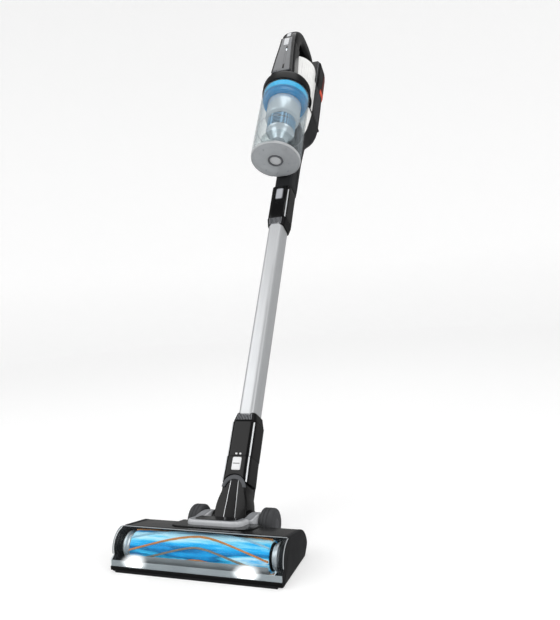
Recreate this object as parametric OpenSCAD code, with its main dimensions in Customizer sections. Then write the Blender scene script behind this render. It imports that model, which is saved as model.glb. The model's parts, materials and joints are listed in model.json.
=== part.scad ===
/* [Stance] */
// Backward lean of the stick from upright, degrees
lean = 33; // [20:1:45]
// Height of the rear wheel axle above the floor
axle_z = 25; // [22:0.5:30]
// Distance of the rear wheel axle behind the head's centre
axle_y = 73; // [68:1:80]

/* [Floor head] */
// Width of the floor head
head_w = 270; // [250:2:300]
// Thickness of each end cap
cap_t = 8; // [6:1:12]
// Height of the brush axis above the floor
brush_z = 26; // [25:0.5:28]
// Distance of the brush axis from the head's centre
brush_y = -38; // [-40:1:-36]
// Radius of the brush core
core_r = 19; // [16:0.5:20]
// Radius to the bristle tips
bristle_r = 24.6; // [22:0.2:25]
// Outer radius of the clear window
window_r = 29.6; // [29:0.1:30]
// Radius of a rear wheel
wheel_r = 25; // [22:0.5:30]
// Width of a rear wheel
wheel_w = 23; // [18:1:28]
// Radius of the wheel axle
axle_r = 4; // [3:0.5:5]

/* [Neck] */
// Height of the side swivel pin above the wheel axle, along the stick
swivel_s = 49; // [46:1:52]
// Radius of the arched top of the yoke
arch_r = 21.3; // [20:0.1:22]

/* [Wand] */
// Width of the wand tube
tube_w = 30.4; // [28:0.2:34]
// Depth of the wand tube
tube_d = 41.9; // [38:0.1:46]
// Wall of the wand tube
tube_wall = 1.5; // [1.2:0.1:2]
// Where the wand meets the neck, along the stick from the axle
wand_s0 = 101; // [98:1:104]
// Lower end of the bare tube
tube_s0 = 179; // [175:1:185]
// Upper end of the bare tube
tube_s1 = 586; // [560:2:600]
// Where the wand meets the hand unit
hand_s0 = 689; // [680:1:700]

/* [Dust bin] */
// Outer radius of the dust bin
bin_r = 53; // [50:0.5:55]
// Wall of the dust bin
bin_wall = 2.3; // [2:0.1:3]
// Distance of the bin's axis in front of the wand's axis
bin_v = 68; // [66:1:72]
// Lower edge of the bin wall
bin_s0 = 724; // [720:1:730]
// Upper edge of the bin wall
bin_s1 = 908; // [900:1:915]

/* [Hand unit] */
// Half width of the duct and of the rear strut
duct_hw = 19; // [18:0.5:21]
// Half width of the rear cowl
cowl_hw = 36; // [32:1:40]
// Radius of the white motor shell
shell_r = 46; // [44:1:48]
// Half width of the handle
handle_hw = 20; // [18:0.5:22]
// Half width of the battery
battery_hw = 29; // [27:0.5:31]

/* [Hidden] */
$fn = 64;
cap_x = head_w / 2 - cap_t;
chamber_r = 27.2;
roof_y0 = -33;
roof_z0 = 54;
roof_y1 = 26;
roof_z1 = 41;
roof_slope = (roof_z0 - roof_z1) / (roof_y1 - roof_y0);
screw_y = -6.5;
motor_y = 14;
motor_z = 22;
belt_x = cap_x - 13.5;
belt_w = 5;
brush_pulley_r = 9;
motor_pulley_r = 5;
arm_x0 = 34;
arm_x1 = 50;
wheel_x0 = 51.5;
fit_gap = 0.2;
run_gap = 0.05;
bin_in = bin_r - bin_wall;
deck_s = 930;
shell_s0 = 936;
shell_s1 = 1036;
motor_v = -34;
pin_v = -20;
pin_s = 722;
column_v = -69.5;
dock_v = 25;
lower_s1 = 163;
upper_s0 = 604;
tube_foot = 150;
tube_head = 622;

// ---- frames and shared shapes ----

// Frame of the stick: X across, Y towards its back, Z along it from the wheel axle
module stick() translate([0, axle_y, axle_z]) rotate([-lean, 0, 0]) children();

// A side outline in (y, z), extruded across from x0 to x1
module side(x0, x1) translate([x0, 0, 0]) rotate([90, 0, 90]) linear_extrude(x1 - x0) children();

// Rectangle with round corners, centred
module rrect(w, d, r) {
  square([w - 2 * r, d], center = true);
  square([w, d - 2 * r], center = true);
  for (sx = [-1, 1], sy = [-1, 1]) translate([sx * (w / 2 - r), sy * (d / 2 - r)]) circle(r);
}

// Upright prism of a rounded rectangle from s0 to s1, centred at v
module prism(w, d, r, s0, s1, v = 0) translate([0, v, s0]) linear_extrude(s1 - s0) rrect(w, d, r);

// Box from low corner to high corner
module box(a, b) translate(a) cube(b - a);

// Rod along X
module rod_x(r, x0, x1, y = 0, z = 0) translate([x0, y, z]) rotate([0, 90, 0]) cylinder(r = r, h = x1 - x0);

// Rod along Y
module rod_y(r, y0, y1, x = 0, z = 0) translate([x, y0, z]) rotate([-90, 0, 0]) cylinder(r = r, h = y1 - y0);

// Rod along Z
module rod_z(r, z0, z1, x = 0, y = 0) translate([x, y, z0]) cylinder(r = r, h = z1 - z0);

// Tube along Z
module ring_z(ro, ri, z0, z1, y = 0) difference() {
  rod_z(ro, z0, z1, 0, y);
  rod_z(ri, z0 - 1, z1 + 1, 0, y);
}

// Height of the head's sloping roof at y
function roof(y) = roof_z0 - (y - roof_y0) * roof_slope;

// Points of an arc around the brush axis, from angle a0 to a1
function brush_arc(r, a0, a1, n = 14) =
  [for (i = [0:n]) let (a = a0 + (a1 - a0) * i / n) [brush_y + r * cos(a), brush_z + r * sin(a)]];

// ---- floor head ----

module head_section() polygon([[brush_y, 3], [brush_y, roof_z0], [roof_y0, roof_z0],
  [roof_y1, roof_z1], [36.5, 28], [40, 15], [28, 3]]);

module head_cavity() polygon([[-4, 6], [-4, 45], [24, 38.8], [34.2, 27.5], [37.5, 15.5], [27, 6]]);

module head_housing() color("#2b2c2e") difference() {
  side(-cap_x, cap_x) head_section();
  for (x = [[-cap_x + 3, -20], [20, cap_x - 3]]) side(x[0], x[1]) head_cavity();
  rod_x(chamber_r, -cap_x - 1, cap_x + 1, brush_y, brush_z);
  box([belt_x - 1.5, brush_y, 12], [belt_x + belt_w + 1.5, 20, 40]);
  rod_y(13, -30, 45, 0, 24);
  for (x = [-95, -60, 60, 95]) rod_z(1.5, 2, 12, x, screw_y);
}

module clear_window() color([0.85, 0.93, 0.97, 0.4]) side(-cap_x, cap_x) {
  polygon(concat(brush_arc(window_r, 94, 186), brush_arc(window_r - 2, 186, 94)));
  polygon([[-67.4, 23.5], [-74, 19.2], [-72.4, 17.4], [-65.4, 22.5]]);
}

module cap_section() polygon(concat([[-75, 0], [-75, 9], [-74, 19.4]], brush_arc(window_r, 184, 97),
  [[roof_y0, roof_z0], [roof_y1, roof_z1], [36.5, 28], [40, 15], [24.5, 0]]));

module end_cap(x0, x1) color("#34363a") side(x0, x1) cap_section();

module end_cap_left() difference() {
  end_cap(-head_w / 2, -cap_x);
  rod_x(axle_r + run_gap, -cap_x - 4, -cap_x + 1, brush_y, brush_z);
}

module end_cap_right() difference() {
  end_cap(cap_x, head_w / 2);
  rod_x(axle_r + run_gap, cap_x - 1, cap_x + 4, brush_y, brush_z);
}

module front_lip() color("#17181a") side(-cap_x, cap_x)
  polygon([[-75, 3], [-75, 9], [-74, 19], [-72.4, 17.2], [-69, 14.8], [-69, 3]]);

module sole_plate() color("#1d1e20") difference() {
  box([-cap_x, -75, 0], [cap_x, 26, 3]);
  box([-112, -65, -1], [112, -11, 4]);
  for (x = [-95, -60, 60, 95]) {
    rod_z(3, -1, 1.5, x, screw_y);
    rod_z(1.5, -1, 4, x, screw_y);
  }
}

module head_screws() color("silver") for (x = [-95, -60, 60, 95]) {
  rod_z(3, 0.5, 1.5, x, screw_y);
  rod_z(1.5, 1.4, 11, x, screw_y);
}

// Rounded frame on the roof, with an arm on each side of the neck that carries the axle
module bezel() color("#b9bcc0") {
  intersection() {
    linear_extrude(80) difference() {
      translate([0, 30]) rrect(104, 72, 24);
      translate([0, 60]) rrect(66, 58, 10);
      translate([-60, 30]) square([120, 60]);
    }
    side(-60, 60) polygon([[-8, roof(-8) + fit_gap], [30, roof(30) + 1.2],
      [30, roof(30) + 7], [-4, roof(-4) + 3], [-8, roof(-8) + 1.2]]);
  }
  difference() {
    for (x = [[-arm_x1, -arm_x0], [arm_x0, arm_x1]]) side(x[0], x[1])
      polygon([[30, roof(30) + 1.2], [30, roof(30) + 7], [62, 45], [78, 42], [90, 30],
        [89, 14], [80, 7], [60, 8], [42, 17], [38.5, 29]]);
    rod_x(axle_r, -60, 60, axle_y, axle_z);
  }
}

module wheel_axle() color("#8a8d92") rod_x(axle_r, -73, 73, axle_y, axle_z);

module wheel(x0) color("#4a4b4d") translate([x0, axle_y, axle_z]) rotate([0, 90, 0]) difference() {
  rotate_extrude() polygon([[0, 0], [wheel_r - 3, 0], [wheel_r, 3], [wheel_r, wheel_w - 5],
    [wheel_r - 5, wheel_w], [0, wheel_w]]);
  translate([0, 0, -1]) cylinder(r = axle_r + run_gap, h = wheel_w - 0.5);
}

module wheel_right() wheel(wheel_x0);
module wheel_left() mirror([1, 0, 0]) wheel(wheel_x0);

module brush_core() color("#1f7fc4") {
  rod_x(core_r, -111, 111, brush_y, brush_z);
  rod_x(axle_r, -cap_x - 3, cap_x + 3, brush_y, brush_z);
  rod_x(brush_pulley_r, belt_x, belt_x + belt_w, brush_y, brush_z);
}

// Four bristle strips that wind around the core
module bristle_strips() color("#f08a2c") translate([-110, brush_y, brush_z]) rotate([0, 90, 0])
  linear_extrude(220, twist = 150, slices = 24) for (a = [0:90:270]) rotate(a)
    translate([core_r - 0.5, -1.5]) square([bristle_r - core_r + 0.4, 3]);

module brush_bearings() color("silver") for (x = [-cap_x, cap_x - 6]) difference() {
  rod_x(8, x, x + 6, brush_y, brush_z);
  rod_x(axle_r + run_gap, x - 1, x + 7, brush_y, brush_z);
}

module brush_motor() color("#70757b") difference() {
  rod_x(14, 34, 98, motor_y, motor_z);
  rod_x(2 + run_gap, 80, 99, motor_y, motor_z);
}

module motor_pulley() color("#c9ccd0") {
  rod_x(2, 82, belt_x, motor_y, motor_z);
  rod_x(motor_pulley_r, belt_x, belt_x + belt_w, motor_y, motor_z);
}

module belt_loop(r_brush, r_motor) hull() {
  translate([brush_y, brush_z]) circle(r_brush, $fn = 32);
  translate([motor_y, motor_z]) circle(r_motor, $fn = 32);
}

module drive_belt() color("#111214") side(belt_x, belt_x + belt_w) difference() {
  belt_loop(brush_pulley_r + 1.8, motor_pulley_r + 1.8);
  belt_loop(brush_pulley_r + 0.4, motor_pulley_r + 0.4);
}

module lamp_lenses() color("white") for (x = [[-112, -78], [66, 98]])
  box([x[0], -68.6, 9], [x[1], -66, 16]);

module neck_hose() color("#1b1c1e") translate([0, 41, 24]) rotate([-90, 0, 0]) difference() {
  rotate_extrude() polygon(concat([[11, 0], [13, 0]],
    [for (i = [0:5]) [i % 2 == 0 ? 14.5 : 13, 1.2 + i * 1.3]], [[11, 8.6]]));
  translate([0, 0, -1]) cylinder(r = 11.5, h = 14);
}

// ---- neck ----

module neck_yoke() color("#121315") stick() difference() {
  union() {
    rod_x(20, -33, 33);
    difference() {
      rotate([90, 0, 0]) translate([0, 0, -16]) linear_extrude(38)
        polygon([[-28, 8], [-27, 26], [-21.3, 44], [21.3, 44], [27, 26], [28, 8]]);
      rod_x(19.8, -34, 34);
    }
    rod_y(arch_r, -22, 16, 0, swivel_s);
  }
  rod_x(axle_r + run_gap, -40, 40);
  rod_z(12, 14, 75);
  rotate([lean, 0, 0]) rod_y(12, -30, 0, 0, -1);
}

// Grey crescent and rim around the arch, on the yoke's face
module neck_arch() color("#8d9093") stick() difference() {
  rod_y(arch_r, -24.6, -22, 0, swivel_s);
  rod_y(15.5, -26, -21, 0, swivel_s - 2);
  box([-30, -26, 0], [30, -21, swivel_s - 1]);
}

module swivel_pin() color("silver") stick() rod_y(6, 16, 23.5, 0, swivel_s);

module latch_housing() color("#121315") stick() difference() {
  union() {
    rotate([90, 0, 0]) translate([0, 0, -24]) linear_extrude(50)
      polygon([[-23, 58], [-22, 80], [-22, wand_s0], [22, wand_s0], [22, 80], [23, 58]]);
    box([-20, 16.5, 38], [20, 24, 60]);
    prism(29.6, 35.6, 7, wand_s0, wand_s0 + 34, 1);
  }
  rod_y(arch_r + 0.4, -27, 16.4, 0, swivel_s);
  rod_y(6 + run_gap, 10, 25, 0, swivel_s);
  rod_z(11.5, 60, 140, 0, 1);
  box([-8.3, -27, 76.5], [8.3, -20, 99.5]);
}

module latch_button() color("#e4e6e8") stick() box([-8, -27.2, 76.9], [8, -23, 99.1]);

// ---- wand ----

module lower_connector() color("#1c1d1f") stick() difference() {
  union() {
    prism(44, 50, 9, wand_s0 + fit_gap, tube_foot, 1);
    prism(47, 52, 9, tube_foot, lower_s1, 1);
  }
  prism(30, 36, 7.2, wand_s0 - 1, wand_s0 + 36, 1);
  prism(26, 34, 7, wand_s0, 170, 0);
  prism(tube_w + 0.1, tube_d + 0.1, 7, 148, 170, 0);
}

// Ribbed ferrule at each end of the bare tube
module ferrule(s0, s1) {
  pitch = (s1 - s0) / 5;
  difference() {
    for (i = [0:4]) {
      prism(42 - i, 48.5 - i * 0.6, 9, s0 + i * pitch, s0 + (i + 0.6) * pitch, 0.5);
      prism(38 - i, 46 - i * 0.6, 8, s0 + (i + 0.6) * pitch, s0 + (i + 1) * pitch, 0.5);
    }
    prism(tube_w + 0.1, tube_d + 0.1, 7, s0 - 1, s1 + 1, 0);
  }
}

module wand_ferrules() color("#222325") stick() {
  ferrule(lower_s1, tube_s0);
  translate([0, 0, tube_s1 + upper_s0]) mirror([0, 0, 1]) ferrule(tube_s1, upper_s0);
}

module wand_tube() color("#d9dadb") stick() difference() {
  prism(tube_w, tube_d, 7, tube_foot, tube_head);
  prism(tube_w - 2 * tube_wall, tube_d - 2 * tube_wall, 5.5, tube_foot - 1, tube_head + 1);
}

module upper_connector() color("#1c1d1f") stick() difference() {
  union() {
    prism(41, 47, 9, upper_s0, hand_s0, 1);
    prism(29.6, 34.6, 6, hand_s0, hand_s0 + 44, 6.5);
  }
  prism(tube_w + 0.1, tube_d + 0.1, 7, 600, 624, 0);
  prism(24, 28, 6, 610, hand_s0 + 50, 6.5);
  box([-7.3, -27, 653.5], [7.3, -17, 680.5]);
}

module wand_button() color("#e4e6e8") stick() box([-7, -24.2, 654], [7, -19.5, 680]);

// ---- hand unit ----

module duct_section() polygon([[-14, hand_s0 + fit_gap], [28, hand_s0 + fit_gap], [31, 713], [32, 794],
  [42, 854], [52, 872], [52, deck_s - 0.2], [-13.5, deck_s - 0.2], [-13.5, 734], [-14, 730]]);

module duct_housing() color("#2f3032") stick() difference() {
  side(-duct_hw, duct_hw) duct_section();
  prism(30, 35, 6.2, hand_s0 - 1, hand_s0 + 46, 6.5);
  side(-12, 12) polygon([[-5, hand_s0 + 40], [20, hand_s0 + 40], [22, 800], [34, 860],
    [-20, 876], [-20, 850], [2, 836]]);
  box([16, -8.5, 769.5], [20, 8.5, 810.5]);
}

module bin_release() color("#17181a") stick() box([18, -8, 770], [21.5, 8, 810]);

// Ring that holds the bin, with the deck that carries the shell and the cowl
module collar_deck() color("#17181a") stick() difference() {
  union() {
    rod_z(bin_r + 1.2, bin_s1 + 1, deck_s + 6, 0, -bin_v);
    translate([0, 0, deck_s]) linear_extrude(6) {
      translate([0, motor_v]) circle(shell_r);
      translate([-cowl_hw, -30]) square([2 * cowl_hw, 100]);
    }
  }
  rod_z(bin_in, bin_s1, deck_s, 0, -bin_v);
  rod_z(27, deck_s - 1, deck_s + 7, 0, -bin_v + 16);
  box([-26, 44, deck_s - 1], [26, 64, deck_s + 7]);
}

module white_shell() color("#f1f1f0") stick() difference() {
  rod_z(shell_r, shell_s0, shell_s1, 0, motor_v);
  rod_z(shell_r - 2.5, shell_s0 - 1, shell_s1 - 3, 0, motor_v);
  box([-handle_hw - fit_gap, -100, shell_s0 - 1], [handle_hw + fit_gap, column_v + fit_gap, shell_s1 + 1]);
  box([-60, 8, shell_s0 - 1], [60, 20, shell_s1 + 1]);
}

module cowl_section() polygon([[8.2, shell_s0], [71.5, shell_s0], [72, 1003], [70, 1040],
  [8.2, 1040]]);

module cowl_lower() polygon([[14, 872], [52.2, 872], [69, 905], [71, deck_s - 0.2], [14, deck_s - 0.2]]);

module cowl_half() color("#2b2c2e") difference() {
  union() {
    difference() {
      side(0, cowl_hw) cowl_section();
      side(-1, cowl_hw - 3) polygon([[5, shell_s0 - 1], [68.5, shell_s0 - 1], [68.8, 1003],
        [67, 1037], [5, 1037]]);
    }
    difference() {
      side(duct_hw + fit_gap, cowl_hw - 5) cowl_lower();
      side(duct_hw, cowl_hw - 8) polygon([[17, 876], [50, 876], [65.8, 907], [67.8, 940], [17, 940]]);
    }
    side(0, duct_hw + 1) polygon([[52.2, 873], [69, 905], [71, deck_s - 0.2], [67.6, deck_s - 0.2],
      [65.8, 907], [52.2, 880]]);
  }
  for (i = [0:7]) box([cowl_hw - 5, 20, 945 + 10 * i], [cowl_hw + 1, 60, 949 + 10 * i]);
}

module cowl_right() stick() cowl_half();
module cowl_left() stick() mirror([1, 0, 0]) cowl_half();

module handle_section() difference() {
  polygon([[-114, shell_s0], [-113, 984], [-110, 1038], [-107, 1076], [-91, 1105], [-71, 1124],
    [-27, 1134], [9, 1130], [dock_v, 1127], [dock_v, 1040.2], [0, 1040.2], [0, 1036], [-69.7, 1036],
    [-69.7, shell_s0]]);
  polygon([[-72, 1040], [-71, 1082], [-42, 1092], [0, 1104], [0, 1030], [-68, 1030], [-68, 1036.1],
    [-72, 1036.1]]);
}

screw_spots = [[-80, 960], [-85, 1090], [-30, 1112], [12, 1060], [12, 1112]];

module handle_half() color("#151618") difference() {
  side(0, handle_hw) handle_section();
  side(-1, 14) polygon([[-111, 944], [-109, 1028], [-76, 1028], [-76, 972], [-90, 944]]);
  box([-1, -120, 1028.6], [6.4, -102, 1055.4]);
  box([-1, -120, 1066.6], [5.4, -100, 1083.4]);
  for (p = screw_spots) {
    rod_x(1.5, 3, 21, p[0], p[1]);
    rod_x(3.2, 16, 21, p[0], p[1]);
  }
}

module handle_right() stick() handle_half();
module handle_left() stick() mirror([1, 0, 0]) handle_half();

module body_screws() color("silver") stick() for (p = screw_spots) {
  rod_x(3.1, 16, 18.5, p[0], p[1]);
  rod_x(1.4, 4, 16.5, p[0], p[1]);
}

module front_panel() color("#8b8d8f") stick() difference() {
  side(-15, 15) polygon([[-117.2, 938], [-114.2, 938], [-113.2, 984], [-110.2, 1038],
    [-109.1, 1058], [-112, 1058], [-113.2, 1038], [-116.2, 984]]);
  box([-6.4, -120, 1028.6], [6.4, -100, 1055.4]);
}

module power_button() color("#eceded") stick() side(-6, 6)
  polygon([[-114.6, 1029], [-105, 1029], [-105, 1055], [-113, 1055]]);

module boost_button() color("#eceded") stick() side(-5, 5)
  polygon([[-109.5, 1067], [-103, 1067], [-103, 1083], [-105.5, 1083]]);

module battery_dock() color("#17181a") stick() {
  box([-battery_hw + 1, dock_v, 1042], [battery_hw - 1, 34.8, 1139]);
  for (sx = [-1, 1]) box([sx * 20 - 3, 34.8, 1050], [sx * 20 + 3, 38.8, 1139]);
}

module suction_motor() color("#9a9ea3") stick() difference() {
  rod_z(27, 958, 1022, 0, motor_v);
  rod_z(2 + run_gap, 950, 1023, 0, motor_v);
}

// Suction fan: a hub, a back disc and curved blades on the motor shaft
module impeller() color("#c3c7cb") stick() translate([0, motor_v, 0]) {
  rod_z(2, 940, 1018);
  rod_z(7, 941, 955);
  rod_z(30, 953, 955);
  for (a = [0:40:320]) rotate(a) box([5, -0.8, 943], [29, 0.8, 953.5]);
}

module control_board() color("#1e6b3a") stick() box([-12, -98, 950], [12, -96.4, 1024]);

module exhaust_filter() color("#e8e4da") stick() box([-28, 50, 940], [28, 62, 1030]);

// ---- dust bin ----

module bin_tube() color([0.9, 0.94, 0.96, 0.35]) stick() difference() {
  rod_z(bin_r, bin_s0, bin_s1, 0, -bin_v);
  rod_z(bin_in, bin_s0 - 1, bin_s1 + 1, 0, -bin_v);
  box([-12, -40, 846], [12, 0, 878]);
  box([-12.3, -24, bin_s0 - 1], [12.3, 0, 729]);
}

module bin_ring() color([0.12, 0.6, 0.87, 0.85]) stick()
  ring_z(bin_in - 0.2, 38, 879, bin_s1, -bin_v);

// Cyclone body: a shroud, the cone below it and the tube that the air leaves by
module cyclone() color("#c8cbce") stick() translate([0, -bin_v, 0]) difference() {
  rotate_extrude() polygon([[0, 770], [16, 770], [20, 786], [30, 812], [30, 872], [37.5, 880],
    [37.5, 902], [0, 902]]);
  rotate_extrude() polygon([[0, 769], [14, 769], [18, 786], [28, 813], [28, 870], [0, 870]]);
  rod_z(27, 869, 903);
}

module cyclone_skirt() color([0.85, 0.9, 0.93, 0.5]) stick() translate([0, -bin_v, 0])
  rotate_extrude() polygon([[20.3, 782], [36, 768], [38, 768], [23, 786], [20.6, 786]]);

module pleated_filter() color("#dfe6ea") stick() translate([0, -bin_v, 0]) difference() {
  union() {
    rod_z(22, 872, 902);
    rod_z(26.5, 902.2, 906);
    for (a = [0:15:345]) rotate(a) box([20, -0.9, 874], [25.5, 0.9, 900]);
  }
  rod_z(15, 876, 907);
}

module bin_seal() color("#1b1c1e") stick() ring_z(36, 28, 902.2, 906, -bin_v);

module bin_door() color([0.72, 0.74, 0.75, 0.8]) stick() difference() {
  union() {
    translate([0, -bin_v, 0]) rotate_extrude()
      polygon([[0, 719], [14, 719], [16, 716], [17.5, 716], [19, 718.5], [46, 717.5], [50, 719.5],
        [52.7, bin_s0 - 0.3], [49.8, bin_s0 - 0.3], [49.8, bin_s0 + 4], [47.5, bin_s0 + 4],
        [47.5, 721.5], [0, 721.5]]);
    rod_x(3, -12, 12, pin_v, pin_s);
  }
  difference() {
    box([-60, pin_v, 700], [60, 0, 740]);
    rod_x(3, -12, 12, pin_v, pin_s);
  }
  rod_x(1.2 + run_gap, -20, 20, pin_v, pin_s);
}

module door_pin() color("silver") stick() rod_x(1.2, -12.3, 12.3, pin_v, pin_s);

module door_latch() color([0.8, 0.82, 0.83, 0.7]) stick() difference() {
  ring_z(bin_r + 2.6, bin_r + 0.4, 720, 742, -bin_v);
  box([-60, -bin_v - 52, 700], [60, 0, 760]);
}

// ---- battery ----

module battery_case() color("#1a1b1d") stick() difference() {
  side(-battery_hw, battery_hw) polygon([[35.1, 1041], [76, 1041], [84, 1046], [88, 1062], [88, 1132],
    [84, 1148], [76, 1153], [40, 1153], [35.1, 1148]]);
  for (sx = [-1, 1]) box([sx * 20 - 3.3, 35, 1030], [sx * 20 + 3.3, 39.1, 1139.3]);
  side(-25.5, 25.5) polygon([[42, 1044], [75, 1044], [81, 1048], [84, 1063], [84, 1112], [42, 1112]]);
  box([-10.3, 77.5, 1124.7], [10.3, 90, 1141.3]);
}

module battery_panels() color("#d9512c") stick() for (sx = [-1, 1])
  box([sx * (battery_hw + 0.5) - 0.4, 46, 1048], [sx * (battery_hw + 0.5) + 0.4, 80, 1072]);

module battery_cells() color("#3b7fb5") stick() for (p = [[-16.5, 52], [0, 52], [16.5, 52],
  [-8.3, 70], [8.3, 70]]) rod_z(8.1, 1048, 1111, p[0], p[1]);

module battery_button() color("#c8442a") stick() box([-10, 80.6, 1125], [10, 89.5, 1141]);

head_housing();
clear_window();
end_cap_left();
end_cap_right();
front_lip();
sole_plate();
bezel();
wheel_axle();
wheel_left();
wheel_right();
brush_core();
bristle_strips();
brush_bearings();
brush_motor();
motor_pulley();
drive_belt();
lamp_lenses();
neck_hose();
head_screws();
neck_yoke();
neck_arch();
swivel_pin();
latch_housing();
latch_button();
lower_connector();
wand_ferrules();
wand_tube();
upper_connector();
wand_button();
duct_housing();
bin_release();
collar_deck();
white_shell();
cowl_left();
cowl_right();
handle_left();
handle_right();
front_panel();
power_button();
boost_button();
battery_dock();
suction_motor();
impeller();
control_board();
exhaust_filter();
body_screws();
bin_tube();
bin_ring();
cyclone();
cyclone_skirt();
pleated_filter();
bin_seal();
bin_door();
door_pin();
door_latch();
battery_case();
battery_panels();
battery_cells();
battery_button();
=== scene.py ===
"""Cordless stick vacuum: floor head, neck, wand, clear bin, hand unit and battery.

Sizes are in millimetres. The stick frame has its origin at the wheel axle, x across, v towards the
stick's back and s along the stick, which leans back from upright.
"""

import json
import logging
import math
from collections.abc import Callable, Sequence
from dataclasses import dataclass
from enum import Enum

import bmesh
import bpy
import numpy as np
from mathutils import Matrix

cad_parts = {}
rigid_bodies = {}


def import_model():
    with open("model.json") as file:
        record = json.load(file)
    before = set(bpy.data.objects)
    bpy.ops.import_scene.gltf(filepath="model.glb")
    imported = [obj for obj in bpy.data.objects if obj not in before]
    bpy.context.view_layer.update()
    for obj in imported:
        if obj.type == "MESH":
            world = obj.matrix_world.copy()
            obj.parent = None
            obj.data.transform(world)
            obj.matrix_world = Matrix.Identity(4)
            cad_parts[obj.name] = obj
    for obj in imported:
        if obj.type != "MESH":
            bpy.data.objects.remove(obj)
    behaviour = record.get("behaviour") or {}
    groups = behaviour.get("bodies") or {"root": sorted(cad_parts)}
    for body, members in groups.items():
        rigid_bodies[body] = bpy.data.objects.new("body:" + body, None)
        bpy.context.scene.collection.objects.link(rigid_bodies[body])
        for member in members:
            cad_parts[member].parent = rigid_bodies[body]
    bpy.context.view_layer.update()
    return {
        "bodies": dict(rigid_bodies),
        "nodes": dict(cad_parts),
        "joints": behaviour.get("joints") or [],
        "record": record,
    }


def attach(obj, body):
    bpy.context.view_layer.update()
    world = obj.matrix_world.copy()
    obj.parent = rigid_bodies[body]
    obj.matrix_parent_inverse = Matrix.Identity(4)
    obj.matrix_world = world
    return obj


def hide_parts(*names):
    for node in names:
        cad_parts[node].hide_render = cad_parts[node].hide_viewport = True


LOG = logging.getLogger("stick_vacuum")
MM = 0.001
LEAN = math.radians(33)
AXLE = (73.0, 25.0)
COS, SIN = math.cos(LEAN), math.sin(LEAN)
TRIM_INSET = 2.5  # how far a trim line lies in from the corner it follows
TRIM_RISE = 0.9  # its thickness
SIDES = (("left", -1), ("right", 1))
Place = Callable[[np.ndarray, np.ndarray, np.ndarray], np.ndarray]


# ---- places ----


def stick(x: np.ndarray, v: np.ndarray, s: np.ndarray) -> np.ndarray:
    """Turns stick coordinates to the row frame: the (v, s) plane turned by the lean about the axle."""
    x, v, s = np.broadcast_arrays(x, v, s)
    return np.stack([x, AXLE[0] + v * COS + s * SIN, AXLE[1] - v * SIN + s * COS], -1)


def upright(x: np.ndarray, y: np.ndarray, z: np.ndarray) -> np.ndarray:
    """Points of the floor head, which stands square in the row frame: across, towards the back and up."""
    return np.stack(np.broadcast_arrays(x, y, z), -1).astype(float)


def facing_front(depth: np.ndarray, x: np.ndarray, s: np.ndarray) -> np.ndarray:
    """Points of an outline drawn on the stick's front and pushed back by a depth."""
    return stick(x, depth, s)


def from_above(depth: np.ndarray, x: np.ndarray, v: np.ndarray) -> np.ndarray:
    """Points of an outline drawn across the stick and carried along it by a depth."""
    return stick(x, v, depth)


# ---- outlines ----


def rounded(corners: Sequence[tuple[float, ...]], reach: float = 0.0, steps: int = 7) -> np.ndarray:
    """Rounds a closed outline: each corner P becomes (1-u)^2 A + 2u(1-u) P + u^2 B.

    A and B lie on the two sides, at the corner's reach from P.

    Args:
        corners: Points (a, b), or (a, b, reach) for a reach of their own.
        reach: Distance from a corner at which its curve starts.
        steps: Points on each curve.

    Returns:
        The outline's points, one row each.
    """
    p = np.array([c[:2] for c in corners], float)
    cut = np.array([c[2] if len(c) > 2 else reach for c in corners], float)
    back, ahead = np.roll(p, 1, 0) - p, np.roll(p, -1, 0) - p
    lb, la = np.linalg.norm(back, axis=1), np.linalg.norm(ahead, axis=1)
    cut = np.minimum(cut, 0.48 * np.minimum(lb, la))[:, None]
    a, b = p + back / lb[:, None] * cut, p + ahead / la[:, None] * cut
    u = np.linspace(0, 1, steps)[None, :, None]
    curve = (1 - u) ** 2 * a[:, None] + 2 * u * (1 - u) * p[:, None] + u**2 * b[:, None]
    kept = np.where(cut[:, 0] > 1e-6, steps, 1)[:, None] > np.arange(steps)[None, :]
    return curve[kept]


def oblong(a0: float, a1: float, b0: float, b1: float, reach: float) -> np.ndarray:
    """A rectangle from a0 to a1 and from b0 to b1, with curves of the given reach at its corners."""
    return rounded([(a0, b0), (a1, b0), (a1, b1), (a0, b1)], reach)


def arc(centre: tuple[float, float], radius: float, start: float, end: float, n: int = 24) -> np.ndarray:
    """Points of an arc: centre + radius (cos t, sin t), with t in degrees from start to end."""
    t = np.radians(np.linspace(start, end, n))
    return np.stack([centre[0] + radius * np.cos(t), centre[1] + radius * np.sin(t)], -1)


def section(half: float, front: float, back: float, reach: float, n: int = 120) -> np.ndarray:
    """A rounded rectangle across the stick, as n points an equal way apart along it.

    Args:
        half: Half width.
        front: v of the front face.
        back: v of the back face.
        reach: Size of the corner curves.
        n: Number of points.

    Returns:
        Points (x, v), symmetric about both middle lines.
    """
    mid = (front + back) / 2
    loop = rounded([(half, mid, 0), (half, back, reach), (-half, back, reach), (-half, mid, 0),
                    (-half, front, reach), (half, front, reach)])
    loop = np.vstack([loop, loop[:1]])
    walk = np.concatenate([[0], np.cumsum(np.linalg.norm(np.diff(loop, axis=0), axis=1))])
    at = np.linspace(0, walk[-1], n + 1)[:-1]
    return np.stack([np.interp(at, walk, loop[:, 0]), np.interp(at, walk, loop[:, 1])], -1)


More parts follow.
